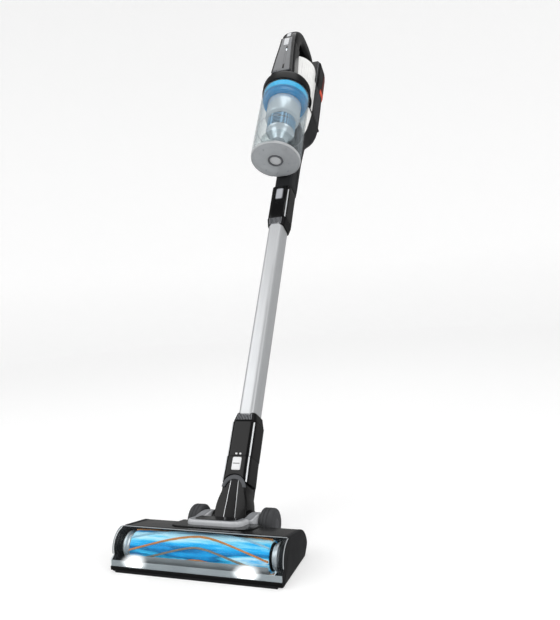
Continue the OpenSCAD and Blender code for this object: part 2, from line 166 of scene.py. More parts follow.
def drawn_in(outline: np.ndarray, amount: np.ndarray) -> np.ndarray:
    """Moves an outline inwards: each point goes along the mean normal of its two sides.

    Args:
        outline: Closed outline, one point a row.
        amount: Distances, one for each copy wanted.

    Returns:
        The copies, stacked on a first axis.
    """
    side = np.roll(outline, -1, 0) - outline
    side /= np.maximum(np.linalg.norm(side, axis=1), 1e-9)[:, None]
    normal = np.stack([-side[:, 1], side[:, 0]], -1)
    a, b = outline, np.roll(outline, -1, 0)
    if (a[:, 0] * b[:, 1] - a[:, 1] * b[:, 0]).sum() < 0:
        normal = -normal
    mean = normal + np.roll(normal, 1, 0)
    mean /= np.maximum((mean**2).sum(1), 1.0)[:, None] / 2
    return outline[None] + np.asarray(amount)[:, None, None] * mean[None]


# ---- surfaces ----


@dataclass
class Surface:
    """A grid of points whose rows are rings or lines.

    Attributes:
        points: Array of rows, columns and three coordinates, in millimetres.
        around: True if each row closes on itself.
        along: True if the last row meets the first.
        ends: True if flat faces close the first and last rows.
        finish: Index of the piece's finish.
    """

    points: np.ndarray
    around: bool = True
    along: bool = False
    ends: bool = True
    finish: int = 0

    def faces(self) -> list[list[int]]:
        """Faces of the grid, turned so that a closed surface's volume comes out positive.

        Returns:
            Lists of vertex numbers.
        """
        rows, cols = self.points.shape[:2]
        n = np.arange(rows * cols).reshape(rows, cols)
        if self.around:
            n = np.hstack([n, n[:, :1]])
        if self.along:
            n = np.vstack([n, n[:1]])
        quads = np.stack([n[:-1, :-1], n[:-1, 1:], n[1:, 1:], n[1:, :-1]], -1).reshape(-1, 4)
        lids = []
        if self.ends and self.around and not self.along:
            lids = [n[0, :-1][::-1].tolist(), n[-1, :-1].tolist()]
        flat = self.points.reshape(-1, 3) - self.points.reshape(-1, 3).mean(0)
        tris = [quads[:, [0, 1, 2]], quads[:, [0, 2, 3]]]
        tris += [np.array([[f[0], f[i], f[i + 1]] for i in range(1, len(f) - 1)]) for f in lids]
        t = flat[np.vstack(tris)]
        volume = (t[:, 0] * np.cross(t[:, 1], t[:, 2])).sum()
        made = quads.tolist() + lids
        return made if volume > 0 else [f[::-1] for f in made]


def slab(outline: np.ndarray, x0: float, x1: float, ease0: float = 0.8, ease1: float = 0.8,
         place: Place = stick, steps: int = 5, finish: int = 0) -> Surface:
    """An outline carried straight from x0 to x1, with quarter-round edges.

    At angle b of an edge the outline is drawn in by e (1 - sin b) and lies e (1 - cos b) from the face.

    Args:
        outline: Closed outline in the two other coordinates.
        x0: Where the first face lies.
        x1: Where the last face lies.
        ease0: Size of the first face's round edge.
        ease1: Size of the last face's round edge.
        place: Turns depth and outline coordinates to points.
        steps: Rings on each round edge.
        finish: Index of the piece's finish.

    Returns:
        The closed surface.
    """
    b = np.linspace(0, np.pi / 2, steps)
    inset = np.concatenate([ease0 * (1 - np.sin(b)), ease1 * (1 - np.sin(b[::-1]))])
    sign = 1 if x1 > x0 else -1
    depth = np.concatenate([x0 + sign * ease0 * (1 - np.cos(b)), x1 - sign * ease1 * (1 - np.cos(b[::-1]))])
    rings = drawn_in(outline, inset)
    return Surface(place(depth[:, None], rings[..., 0], rings[..., 1]), finish=finish)


End = float | Callable[[np.ndarray, np.ndarray], np.ndarray]


def pillar(outline: np.ndarray, low: End, high: End, ease0: float = 1.0, ease1: float = 1.0, rows: int = 2,
           shape: Callable[[np.ndarray, np.ndarray, np.ndarray], tuple[np.ndarray, np.ndarray]] | None = None,
           finish: int = 0) -> Surface:
    """A cross-section carried along the stick, with quarter-round ends that may follow a curve.

    A curved end is closed by rings that are pressed to the section's middle line in v, so it is ruled
    from front to back.

    Args:
        outline: Points (x, v) of the section.
        low: s of the lower end, or a function of x and v.
        high: s of the upper end, or a function of x and v.
        ease0: Size of the lower round edge.
        ease1: Size of the upper round edge.
        rows: Rings between the two edges.
        shape: Changes x and v by the share of the way up.
        finish: Index of the piece's finish.

    Returns:
        The closed surface. One with a curved end needs its doubles merged.
    """
    b = np.linspace(0, np.pi / 2, 5)
    t = np.linspace(0, 1, rows + 2)[1:-1]
    inset = np.concatenate([ease0 * (1 - np.sin(b)), np.zeros(rows), ease1 * (1 - np.sin(b[::-1]))])
    share = np.concatenate([np.zeros(5), t, np.ones(5)])
    off = np.concatenate([ease0 * (1 - np.cos(b)), ease0 * (1 - t) - ease1 * t, -ease1 * (1 - np.cos(b[::-1]))])
    press = np.zeros(len(share))
    for curved, at in ((callable(low), 0), (callable(high), -1)):
        if curved:
            first = at == 0
            inset = np.concatenate([[ease0] * 2, inset]) if first else np.concatenate([inset, [ease1] * 2])
            share = np.concatenate([[0.0] * 2, share]) if first else np.concatenate([share, [1.0] * 2])
            off = np.concatenate([[0.0] * 2, off]) if first else np.concatenate([off, [0.0] * 2])
            press = np.concatenate([[1.0, 0.5], press]) if first else np.concatenate([press, [0.5, 1.0]])
    lo, hi = outline.min(0), outline.max(0)
    mid, half = (lo + hi) / 2, (hi - lo) / 2
    x = mid[0] + (outline[:, 0] - mid[0])[None] * (1 - inset / half[0])[:, None]
    v = mid[1] + (outline[:, 1] - mid[1])[None] * ((1 - inset / half[1]) * (1 - press))[:, None]
    share, off = share[:, None], off[:, None]
    if shape is not None:
        x, v = shape(share, x, v)
    s0 = low(x, v) if callable(low) else low
    s1 = high(x, v) if callable(high) else high
    return Surface(stick(x, v, s0 + (s1 - s0) * share + off), finish=finish)


class Axis(Enum):
    """Lines that turned pieces are made about."""

    STICK = "along the stick"
    HEAD = "across the floor head"
    ACROSS = "across the stick"


def turned(profile: Sequence[tuple[float, float]] | np.ndarray, axis: Axis, centre: tuple[float, float],
           n: int = 72, closed: bool = False, finish: int = 0) -> Surface:
    """A profile turned about a line: (r cos t, r sin t) at each height h.

    Args:
        profile: Points (radius, height).
        axis: The line's direction.
        centre: Where the line lies: (x, v) for STICK, (y, z) for HEAD and (v, s) for ACROSS.
        n: Points around.
        closed: True if the profile closes on itself, as a ring's does.
        finish: Index of the piece's finish.

    Returns:
        The closed surface.
    """
    r, h = np.asarray(profile, float).T[..., None]
    t = np.linspace(0, 2 * np.pi, n, endpoint=False)[None]
    a, b = centre[0] + r * np.cos(t), centre[1] + r * np.sin(t)
    if axis is Axis.STICK:
        points = stick(a, b, h)
    else:
        points = (upright if axis is Axis.HEAD else stick)(h, a, b)
    return Surface(points, along=closed, finish=finish)


def smooth_path(stations: np.ndarray, n: int) -> np.ndarray:
    """A smooth curve through stations, by Catmull-Rom: each piece is the cubic whose end slopes are half
    the difference of the neighbours on either side.

    Args:
        stations: One station a row, with any number of coordinates.
        n: Points wanted.

    Returns:
        The curve's points.
    """
    p = np.vstack([2 * stations[0] - stations[1], stations, 2 * stations[-1] - stations[-2]])
    t = np.linspace(0, len(stations) - 1, n)
    i = np.minimum(t.astype(int), len(stations) - 2)
    u = (t - i)[:, None]
    a, b, c, d = p[i], p[i + 1], p[i + 2], p[i + 3]
    return 0.5 * (2 * b + (c - a) * u + (2 * a - 5 * b + 4 * c - d) * u**2 + (3 * b - a - 3 * c + d) * u**3)


def strip(x: np.ndarray, v: np.ndarray, s: np.ndarray, across: tuple[float, float, float],
          out: tuple[float, float, float], width: float, rise: float, finish: int = 0) -> Surface:
    """A thin flat strip along a path on the stick: four corners at path +- across w/2 and +- out h/2.

    Args:
        x: Path across.
        v: Path towards the back.
        s: Path along the stick.
        across: Direction of the width, in stick coordinates.
        out: Direction of the thickness, in stick coordinates.
        width: The strip's width.
        rise: Its thickness.
        finish: Index of the piece's finish.

    Returns:
        The closed surface.
    """
    path = np.stack(np.broadcast_arrays(x, v, s), -1).astype(float)
    w = np.array(across) / np.linalg.norm(across) * width / 2
    h = np.array(out) / np.linalg.norm(out) * rise / 2
    corners = np.stack([path - w - h, path + w - h, path + w + h, path - w + h], 1)
    return Surface(stick(corners[..., 0], corners[..., 1], corners[..., 2]), finish=finish)


def edge_trim(sx: int, half: Sequence[float], front: Sequence[float], s: Sequence[float], width: float) -> Surface:
    """A trim line laid on a corner edge, so its width runs across the corner at 45 degrees.

    Args:
        sx: 1 for the right side, -1 for the left.
        half: Half width at each station.
        front: v of the front face at each station.
        s: Stations along the stick.
        width: The line's width.

    Returns:
        The closed surface.
    """
    path = smooth_path(np.stack([half, front, s], -1), 24)
    return strip(sx * (path[:, 0] - TRIM_INSET), path[:, 1] + TRIM_INSET, path[:, 2], (sx, 1, 0), (sx, -1, 0),
                 width, TRIM_RISE)


# ---- finishes ----


def linear(code: str, lift: float = 1.0) -> tuple[float, float, float, float]:
    """Turns an sRGB hex colour to linear, by the standard's curve.

    Args:
        code: Colour such as "#8f9194".
        lift: Factor on the linear colour.

    Returns:
        Linear red, green, blue and an alpha of one.
    """
    c = np.array([int(code[i : i + 2], 16) for i in (1, 3, 5)]) / 255
    c = np.where(c <= 0.04045, c / 12.92, ((c + 0.055) / 1.055) ** 2.4) * lift
    return (*(float(min(k, 1.0)) for k in c), 1.0)


def add(tree: bpy.types.NodeTree, kind: str, links: dict | None = None,
        stops: Sequence[tuple[float, tuple]] = (), **settings: object) -> bpy.types.Node:
    """Adds a node with its settings and links.

    Args:
        tree: The material's node tree.
        kind: The node's type.
        links: For each input, the value or the output socket that feeds it.
        stops: Places and linear colours of a colour ramp.
        **settings: The node's own properties.

    Returns:
        The node.
    """
    node = tree.nodes.new(kind)
    for name, value in settings.items():
        setattr(node, name, value)
    for name, value in (links or {}).items():
        if isinstance(value, bpy.types.NodeSocket):
            tree.links.new(value, node.inputs[name])
        else:
            node.inputs[name].default_value = value
    for i, (at, colour) in enumerate(stops):
        spot = node.color_ramp.elements[i] if i < 2 else node.color_ramp.elements.new(at)
        spot.position, spot.color = at, colour
    return node


def per_metre(size_mm: float) -> float:
    """Scale of a noise whose features are size_mm across."""
    return 1 / (size_mm * MM)


@dataclass(frozen=True)
class Finish:
    """What a surface is made of. Each kind of finish draws its own nodes.

    Attributes:
        name: The material's common name and how it was made.
        colour: Its sRGB colour.
        roughness: How far it scatters a reflection.
    """

    name: str
    colour: str
    roughness: float

    def material(self) -> bpy.types.Material:
        """The finish's material, made once.

        Returns:
            The material.
        """
        found = bpy.data.materials.get(self.name)
        if found:
            return found
        made = bpy.data.materials.new(self.name)
        made.use_nodes = True
        made.node_tree.nodes.clear()
        out = add(made.node_tree, "ShaderNodeOutputMaterial")
        made.node_tree.links.new(self.surface(made.node_tree), out.inputs["Surface"])
        made.diffuse_color = linear(self.colour)
        return made

    def surface(self, tree: bpy.types.NodeTree) -> bpy.types.NodeSocket:
        """Draws the nodes.

        Args:
            tree: The material's node tree.

        Returns:
            The shader's output socket.
        """
        raise NotImplementedError


@dataclass(frozen=True)
class Moulded(Finish):
    """Injection-moulded plastic or rubber. The mould's spark-eroded grain gives it a fine broken sheen,
    and handling leaves broad patches that are a little duller. The grain is drawn at 1 mm or more, where
    the real one is about 0.1 mm, so that it shows.

    Attributes:
        grain: Size of the grain, in millimetres.
        relief: Height of the grain, in millimetres.
        coat: Weight of the polished skin over it.
        shine: Strength of its mirror reflection, where 0.5 is that of bare plastic.
        vary: How far the tone drifts either way over the broad patches.
        patch: Size of those patches, in millimetres.
    """

    grain: float = 1.2
    relief: float = 0.02
    coat: float = 0.0
    shine: float = 0.22
    vary: float = 0.1
    patch: float = 45.0

    def surface(self, tree: bpy.types.NodeTree) -> bpy.types.NodeSocket:
        """Draws the nodes: grain to bump, broad clouds to tone and roughness.

        Args:
            tree: The material's node tree.

        Returns:
            The shader's output socket.
        """
        spot = add(tree, "ShaderNodeTexCoord").outputs["Object"]
        grain = add(tree, "ShaderNodeTexNoise", {"Vector": spot, "Scale": per_metre(self.grain), "Detail": 3.0})
        cloud = add(tree, "ShaderNodeTexNoise", {"Vector": spot, "Scale": per_metre(self.patch), "Detail": 3.0})
        tone = add(tree, "ShaderNodeValToRGB", {"Fac": cloud.outputs[0]},
                   stops=((0.3, linear(self.colour, 1 - self.vary)), (0.7, linear(self.colour, 1 + self.vary))))
        wear = add(tree, "ShaderNodeMapRange", {"Value": cloud.outputs[0], "From Min": 0.3, "From Max": 0.7,
                                                "To Min": self.roughness * 0.82, "To Max": self.roughness * 1.2})
        bump = add(tree, "ShaderNodeBump", {"Height": grain.outputs[0], "Strength": 0.5,
                                            "Distance": self.relief * MM})
        return add(tree, "ShaderNodeBsdfPrincipled", {
            "Base Color": tone.outputs["Color"], "Roughness": wear.outputs["Result"],
            "Normal": bump.outputs["Normal"], "Specular IOR Level": self.shine, "Coat Weight": self.coat,
            "Coat Roughness": 0.04}).outputs["BSDF"]


@dataclass(frozen=True)
class Metal(Finish):
    """Metal with a drawn or brushed surface: fine streaks along the piece stretch its highlights.

    Attributes:
        streak: Width and length of a streak, in millimetres.
        metallic: 1 for bare metal, less for metallic paint or plating on plastic.
        patch: Size of the broad patches that dull it a little, in millimetres.
    """

    streak: tuple[float, float] = (0.8, 60.0)
    metallic: float = 1.0
    patch: float = 70.0

    def surface(self, tree: bpy.types.NodeTree) -> bpy.types.NodeSocket:
        """Draws the nodes: a noise stretched along the stick to roughness, tone and bump.

        Args:
            tree: The material's node tree.

        Returns:
            The shader's output socket.
        """
        spot = add(tree, "ShaderNodeTexCoord").outputs["Object"]
        across, along = (k * MM for k in self.streak)
        laid = add(tree, "ShaderNodeMapping", {
            "Vector": spot, "Location": (0, AXLE[0] * MM, AXLE[1] * MM), "Rotation": (-LEAN, 0, 0),
            "Scale": (across, across, along)}, vector_type="TEXTURE")
        line = add(tree, "ShaderNodeTexNoise", {"Vector": laid.outputs["Vector"], "Scale": 1.0, "Detail": 3.0})
        cloud = add(tree, "ShaderNodeTexNoise", {"Vector": spot, "Scale": per_metre(self.patch)})
        tone = add(tree, "ShaderNodeValToRGB", {"Fac": line.outputs[0]},
                   stops=((0.25, linear(self.colour, 0.92)), (0.75, linear(self.colour, 1.05))))
        both = add(tree, "ShaderNodeMath", {0: line.outputs[0], 1: cloud.outputs[0]}, operation="ADD")
        wear = add(tree, "ShaderNodeMapRange", {"Value": both.outputs[0], "From Min": 0.6, "From Max": 1.4,
                                                "To Min": self.roughness * 0.8, "To Max": self.roughness * 1.2})
        bump = add(tree, "ShaderNodeBump", {"Height": line.outputs[0], "Strength": 0.15, "Distance": 0.01 * MM})
        return add(tree, "ShaderNodeBsdfPrincipled", {
            "Base Color": tone.outputs["Color"], "Roughness": wear.outputs["Result"],
            "Metallic": self.metallic, "Normal": bump.outputs["Normal"]}).outputs["BSDF"]


@dataclass(frozen=True)
class Clear(Finish):
    """Moulded polycarbonate seen through. Head on it passes nearly all light; towards its edges it
    mirrors the room. Fine wipe marks break the reflection.

    Attributes:
        body: Share of light that the plastic itself gives back, seen head on.
        rim: The same, seen at a grazing angle.
        tint: sRGB colour of the light that comes through.
        wipe: Width of the wipe marks, in millimetres.
    """

    body: float = 0.08
    rim: float = 0.75
    tint: str = "#ffffff"
    wipe: float = 9.0

    def surface(self, tree: bpy.types.NodeTree) -> bpy.types.NodeSocket:
        """Draws the nodes: a transparent and a glossy shader, mixed by how far the surface turns away.

        Args:
            tree: The material's node tree.

        Returns:
            The shader's output socket.
        """
        spot = add(tree, "ShaderNodeTexCoord").outputs["Object"]
        marks = add(tree, "ShaderNodeTexNoise", {"Vector": spot, "Scale": per_metre(self.wipe), "Detail": 5.0})
        wear = add(tree, "ShaderNodeMapRange", {"Value": marks.outputs[0], "From Min": 0.3, "From Max": 0.7,
                                                "To Min": self.roughness * 0.6, "To Max": self.roughness * 1.5})
        tone = add(tree, "ShaderNodeValToRGB", {"Fac": marks.outputs[0]},
                   stops=((0.3, linear(self.colour, 0.94)), (0.7, linear(self.colour, 1.06))))
        turn = add(tree, "ShaderNodeLayerWeight", {"Blend": 0.5})
        steep = add(tree, "ShaderNodeMath", {0: turn.outputs["Facing"], 1: 2.6}, operation="POWER")
        share = add(tree, "ShaderNodeMapRange", {"Value": steep.outputs[0], "To Min": self.body,
                                                 "To Max": self.rim})
        open_ = add(tree, "ShaderNodeBsdfTransparent", {"Color": linear(self.tint)})
        solid = add(tree, "ShaderNodeBsdfPrincipled", {
            "Base Color": tone.outputs["Color"], "Roughness": wear.outputs["Result"], "IOR": 1.58,
            "Specular IOR Level": 0.8})
        return add(tree, "ShaderNodeMixShader", {0: share.outputs["Result"], 1: open_.outputs[0],
                                                 2: solid.outputs[0]}).outputs[0]


@dataclass(frozen=True)
class Pile(Finish):
    """Woven nylon pile on the brush roll: bands of several colours wind slowly round it, combed along it in streaks,
    and the cut yarn ends scatter light softly. Its palest bands are painted highlight, and it gives off a faint
    painted glow in its own colours, as if lit by the floor lamps.

    Attributes:
        bands_and_highlights: Stops over half a turn about the roll, as place and sRGB colour; the near-white stops
            are painted highlight, the rest are the pile's own blues.
        pitch: Length along the roll in which the bands repeat, in millimetres.
        axis: (y, z) of the roll's axis, in millimetres.
        comb: Length and width of a combed streak.
        yarn: Size of a cut yarn end.
    """

    bands_and_highlights: tuple[tuple[float, str], ...] = ()
    pitch: float = 1500.0
    axis: tuple[float, float] = (-38.0, 26.0)
    comb: tuple[float, float] = (110.0, 9.0)
    yarn: float = 1.4

    def surface(self, tree: bpy.types.NodeTree) -> bpy.types.NodeSocket:
        """Draws the nodes: turns about the roll plus way along it, combed, pick a band's colour, which also feeds a
        faint painted glow.

        Args:
            tree: The material's node tree.

        Returns:
            The shader's output socket.
        """
        spot = add(tree, "ShaderNodeTexCoord").outputs["Object"]
        laid = add(tree, "ShaderNodeMapping", {"Vector": spot, "Location": (0, *(-k * MM for k in self.axis))})
        axes = add(tree, "ShaderNodeSeparateXYZ", {"Vector": laid.outputs["Vector"]})
        angle = add(tree, "ShaderNodeMath", {0: axes.outputs["Z"], 1: axes.outputs["Y"]}, operation="ARCTAN2")
        turns = add(tree, "ShaderNodeMath", {0: angle.outputs[0], 1: 1 / math.pi}, operation="MULTIPLY")
        way = add(tree, "ShaderNodeMath", {0: axes.outputs["X"], 1: per_metre(self.pitch), 2: turns.outputs[0]},
                  operation="MULTIPLY_ADD")
        fuzz = add(tree, "ShaderNodeTexNoise", {"Vector": spot, "Scale": per_metre(self.yarn), "Detail": 4.0})
        long, wide = (per_metre(k) for k in self.comb)
        streak = add(tree, "ShaderNodeMapping", {"Vector": spot, "Scale": (long, wide, wide)})
        comb = add(tree, "ShaderNodeTexNoise", {"Vector": streak.outputs["Vector"], "Scale": 1.0, "Detail": 3.0})
        frayed = add(tree, "ShaderNodeMath", {0: fuzz.outputs[0], 1: 0.05, 2: way.outputs[0]},
                     operation="MULTIPLY_ADD")
        combed = add(tree, "ShaderNodeMath", {0: comb.outputs[0], 1: 0.8, 2: frayed.outputs[0]},
                     operation="MULTIPLY_ADD")
        band = add(tree, "ShaderNodeMath", {0: combed.outputs[0]}, operation="FRACT")
        tone = add(tree, "ShaderNodeValToRGB", {"Fac": band.outputs[0]},
                   stops=tuple((at, linear(code)) for at, code in self.bands_and_highlights))
        bump = add(tree, "ShaderNodeBump", {"Height": fuzz.outputs[0], "Strength": 1.0, "Distance": 0.8 * MM})
        # Emission in the pile's own colours: a painted glow, painted light standing in for the floor lamps shining
        # on the pile.
        return add(tree, "ShaderNodeBsdfPrincipled", {
            "Base Color": tone.outputs["Color"], "Roughness": self.roughness, "Sheen Weight": 0.15,
            "Sheen Roughness": 0.4, "Emission Color": tone.outputs["Color"], "Emission Strength": 0.3,
            "Normal": bump.outputs["Normal"]}).outputs["BSDF"]


@dataclass(frozen=True)
class Perforated(Finish):
    """Grey plastic pressed with rows of small round holes, which let the exhaust air out.

    Attributes:
        spacing: Distance between holes, in millimetres.
        hole: Share of the spacing that a hole takes.
    """

    spacing: float = 2.6
    hole: float = 0.3

    def surface(self, tree: bpy.types.NodeTree) -> bpy.types.NodeSocket:
        """Draws the nodes: distance from the middle of each square cell, cut off at the hole's edge.

        Args:
            tree: The material's node tree.

        Returns:
            The shader's output socket.
        """
        spot = add(tree, "ShaderNodeTexCoord").outputs["Object"]
        cell = self.spacing * MM
        laid = add(tree, "ShaderNodeMapping", {
            "Vector": spot, "Location": (0, AXLE[0] * MM, AXLE[1] * MM), "Rotation": (-LEAN, 0, 0),
            "Scale": (cell, cell, cell)}, vector_type="TEXTURE")
        part = add(tree, "ShaderNodeVectorMath", {0: laid.outputs["Vector"]}, operation="FRACTION")
        off = add(tree, "ShaderNodeVectorMath", {0: part.outputs[0], 1: (0.5, 0.5, 0.5)}, operation="SUBTRACT")
        flat = add(tree, "ShaderNodeVectorMath", {0: off.outputs[0], 1: (0, 1, 1)}, operation="MULTIPLY")
        away = add(tree, "ShaderNodeVectorMath", {0: flat.outputs[0]}, operation="LENGTH")
        land = add(tree, "ShaderNodeMapRange", {"Value": away.outputs["Value"], "From Min": self.hole - 0.06,
                                                "From Max": self.hole + 0.06})
        tone = add(tree, "ShaderNodeValToRGB", {"Fac": land.outputs["Result"]},
                   stops=((0.0, linear(self.colour, 0.12)), (1.0, linear(self.colour))))
        bump = add(tree, "ShaderNodeBump", {"Height": land.outputs["Result"], "Strength": 0.7,
                                            "Distance": 0.5 * MM})
        return add(tree, "ShaderNodeBsdfPrincipled", {
            "Base Color": tone.outputs["Color"], "Roughness": self.roughness,
            "Normal": bump.outputs["Normal"]}).outputs["BSDF"]


@dataclass(frozen=True)
class Lamp(Finish):
    """White light-emitting diode behind a diffusing lens: bright, with patches of a cooler white.

    Attributes:
        power: Strength of the light.
        grain: Size of the patches, in millimetres.
    """

    power: float = 6.0
    grain: float = 6.0

    def surface(self, tree: bpy.types.NodeTree) -> bpy.types.NodeSocket:
        """Draws the nodes: a noise of the diffuser's grain between two whites.

        Args:
            tree: The material's node tree.

        Returns:
            The shader's output socket.
        """
        spot = add(tree, "ShaderNodeTexCoord").outputs["Object"]
        grain = add(tree, "ShaderNodeTexNoise", {"Vector": spot, "Scale": per_metre(self.grain)})
        tone = add(tree, "ShaderNodeValToRGB", {"Fac": grain.outputs[0]},
                   stops=((0.3, linear("#d8f2ff")), (0.7, linear("#ffffff"))))
        return add(tree, "ShaderNodeBsdfPrincipled", {
            "Base Color": tone.outputs["Color"], "Roughness": self.roughness,
            "Emission Color": tone.outputs["Color"], "Emission Strength": self.power}).outputs["BSDF"]


@dataclass(frozen=True)
class Glow(Finish):
    """Light that a lamp throws into the clear plastic round it, brightest in its middle.

    Attributes:
        across: Where its middle lies across the head, in millimetres.
        height: Height of its middle above the floor.
        reach: How far it spreads across and up.
    """

    across: float = 0.0
    height: float = 16.0
    reach: tuple[float, float] = (25.0, 12.0)

    def surface(self, tree: bpy.types.NodeTree) -> bpy.types.NodeSocket:
        """Draws the nodes: distance from the middle, squeezed across, mixes light with clear plastic.

        Args:
            tree: The material's node tree.

        Returns:
            The shader's output socket.
        """
        spot = add(tree, "ShaderNodeTexCoord").outputs["Object"]
        laid = add(tree, "ShaderNodeMapping", {
            "Vector": spot, "Location": (self.across * MM, 0, self.height * MM),
            "Scale": (self.reach[0] * MM, 1.0, self.reach[1] * MM)}, vector_type="TEXTURE")
        away = add(tree, "ShaderNodeVectorMath", {0: laid.outputs["Vector"]}, operation="LENGTH")
        near = add(tree, "ShaderNodeMapRange", {"Value": away.outputs["Value"], "From Min": 1.0, "From Max": 0.1,
                                                "To Min": 0.0, "To Max": 1.0}, interpolation_type="SMOOTHSTEP")
        light = add(tree, "ShaderNodeEmission", {"Color": linear(self.colour), "Strength": 2.2})
        clear = add(tree, "ShaderNodeBsdfTransparent")
        return add(tree, "ShaderNodeMixShader", {0: near.outputs["Result"], 1: clear.outputs[0],
                                                 2: light.outputs[0]}).outputs[0]


@dataclass(frozen=True)
class Fibrous(Finish):
    """Filter paper, printed board or bristle: fine crossed fibres under a dull face.

    Attributes:
        fibre: Width and length of a fibre, in millimetres.
    """

    fibre: tuple[float, float] = (1.0, 8.0)

    def surface(self, tree: bpy.types.NodeTree) -> bpy.types.NodeSocket:
        """Draws the nodes: two noises stretched across each other to tone and bump.

        Args:
            tree: The material's node tree.

        Returns:
            The shader's output socket.
        """
        spot = add(tree, "ShaderNodeTexCoord").outputs["Object"]
        wide, long = (per_metre(k) for k in self.fibre)
        sides = [add(tree, "ShaderNodeMapping", {"Vector": spot, "Scale": k}).outputs["Vector"]
                 for k in ((wide, long, long), (long, wide, wide))]
        a, b = (add(tree, "ShaderNodeTexNoise", {"Vector": k, "Scale": 1.0}).outputs[0] for k in sides)
        both = add(tree, "ShaderNodeMath", {0: a, 1: b}, operation="MULTIPLY")
        tone = add(tree, "ShaderNodeValToRGB", {"Fac": both.outputs[0]},
                   stops=((0.1, linear(self.colour, 0.8)), (0.45, linear(self.colour, 1.05))))
        bump = add(tree, "ShaderNodeBump", {"Height": both.outputs[0], "Distance": 0.1 * MM})
        return add(tree, "ShaderNodeBsdfPrincipled", {
            "Base Color": tone.outputs["Color"], "Roughness": self.roughness,
            "Normal": bump.outputs["Normal"]}).outputs["BSDF"]


@dataclass(frozen=True)
class Paper(Finish):
    """White paper sweep, lit evenly from behind so that it reads as plain white."""

    def surface(self, tree: bpy.types.NodeTree) -> bpy.types.NodeSocket:
        """Draws the nodes: a diffuse sheet with a little light of its own.

        Args:
            tree: The material's node tree.

        Returns:
            The shader's output socket.
        """
        return add(tree, "ShaderNodeBsdfPrincipled", {
            "Base Color": linear(self.colour), "Roughness": self.roughness, "Specular IOR Level": 0.1,
            "Emission Color": (1, 1, 1, 1), "Emission Strength": 0.5}).outputs["BSDF"]


# Black and grey ABS and nylon: a dim sharp gleam where polished, a broad soft one where grained.
GLOSS_BLACK = Moulded("gloss_black_abs", "#060607", 0.2, 1.6, 0.006, 0.12)
SATIN_BLACK = Moulded("satin_black_abs", "#0b0b0d", 0.36, 1.2, 0.02)
MATT_BLACK = Moulded("matt_black_nylon", "#1d1e20", 0.55, 1.0, 0.05)
DARK_GREY = Moulded("charcoal_abs", "#1b1c1e", 0.42, 1.2, 0.02)
COWL_GREY = Moulded("cowl_grey_abs", "#232426", 0.42, 1.2, 0.03)
PANEL_DARK = Moulded("gloss_grey_abs", "#4c4e52", 0.22, 1.6, 0.008, 0.5, 0.4)
RING_GREY = Moulded("mid_grey_abs", "#55575a", 0.36, 1.2, 0.012)
PANEL_GREY = Moulded("painted_grey_abs", "#8d8f93", 0.34, 1.4, 0.012, 0.15)
APRON_GREY = Moulded("light_grey_abs", "#b0b2b4", 0.4, 1.4, 0.02)
# White and coloured ABS: even in tone, with a clear coat's small highlight.
WHITE = Moulded("gloss_white_abs", "#f2f2f0", 0.24, 1.4, 0.008, 0.3)
BUTTON_WHITE = Moulded("near_white_abs", "#e6e7e8", 0.3, 1.2, 0.01, 0.2)
BUTTON_PALE = Moulded("pale_grey_abs", "#c3c5c8", 0.26, 1.2, 0.01, 0.3)
BUTTON_GREY = Moulded("button_grey_abs", "#a9abb0", 0.32, 1.2, 0.01, 0.2)
ORANGE = Moulded("orange_red_abs", "#d8492a", 0.36, 1.2, 0.01)
BROWN_RED = Moulded("brown_red_abs", "#5a2019", 0.32, 1.2, 0.01)
# Bright sky blue on the bin ring's top lip and outer band: a painted highlight.
SKY_HIGHLIGHT = Moulded("sky_blue_painted_highlight", "#1cc0fb", 0.2, 1.4, 0.006, 0.2)
# Silver paint, bright and smooth; and the edge of a clear moulding drawn in opaque light grey, a painted highlight.
BEZEL = Moulded("silver_painted_abs", "#c9cbce", 0.26, 1.6, 0.003, 0.6, 0.5, 0.03)
EDGE_HIGHLIGHT = Moulded("edge_painted_highlight", "#a4a8ab", 0.16, 1.6, 0.004, 0.4, 0.5)
# Rubber, the wheels' ABS hubs and shrink wrap: dull, with hardly a highlight.
TYRE = Moulded("dark_tyre_rubber", "#47484a", 0.6, 1.1, 0.04, shine=0.2)
HUB = Moulded("hub_abs", "#4c4d50", 0.4, 1.2, 0.02, shine=0.2)
SEAL = Moulded("nitrile_rubber", "#1b1c1e", 0.6, 1.0, 0.06)
WRAP = Moulded("cell_wrap_pvc", "#3b7fb5", 0.35, 1.6, 0.01)
# Metals: drawn tube and turned pins with long streaks, plating on plastic, and a cast motor case.
SILVER = Metal("satin_silver_plating", "#f0f2f4", 0.27, (6, 60), 0.5)
CYCLONE = Metal("blue_grey_plating", "#dbe4ec", 0.2, (0.8, 30), 0.45)
ALUMINIUM = Metal("anodised_aluminium", "#d4d6d8", 0.4, (0.7, 90), 0.6)
STEEL = Metal("turned_steel", "#b9bcc0", 0.28)
MOTOR = Metal("die_cast_aluminium", "#9a9ea3", 0.45, (1.5, 3))
# Polycarbonate: clear with grey rims, dyed blue, or frosted by the mould.
CLEAR = Clear("clear_polycarbonate", "#a6abaf", 0.06, 0.03, 0.5, "#fafcfc")
WINDOW = Clear("window_polycarbonate", "#4a4d50", 0.05, 0.025, 0.5, "#f7fafb")
BLUE_CLEAR = Clear("blue_polycarbonate", "#0091cf", 0.12, 0.8, 0.95, "#2fb4ea")
FROSTED = Clear("frosted_polycarbonate", "#a6a9ac", 0.4, 0.7, 0.95, "#dfe2e4")
# Pierced faces: rows of dark round holes.
MESH = Perforated("perforated_grey_abs", "#3a3b3e", 0.45)
SHROUD = Perforated("pierced_steel_shroud", "#8fb4d2", 0.3, 4.2, 0.34)
INSERT = Perforated("pierced_grey_insert", "#55575a", 0.4, 2.6, 0.22)
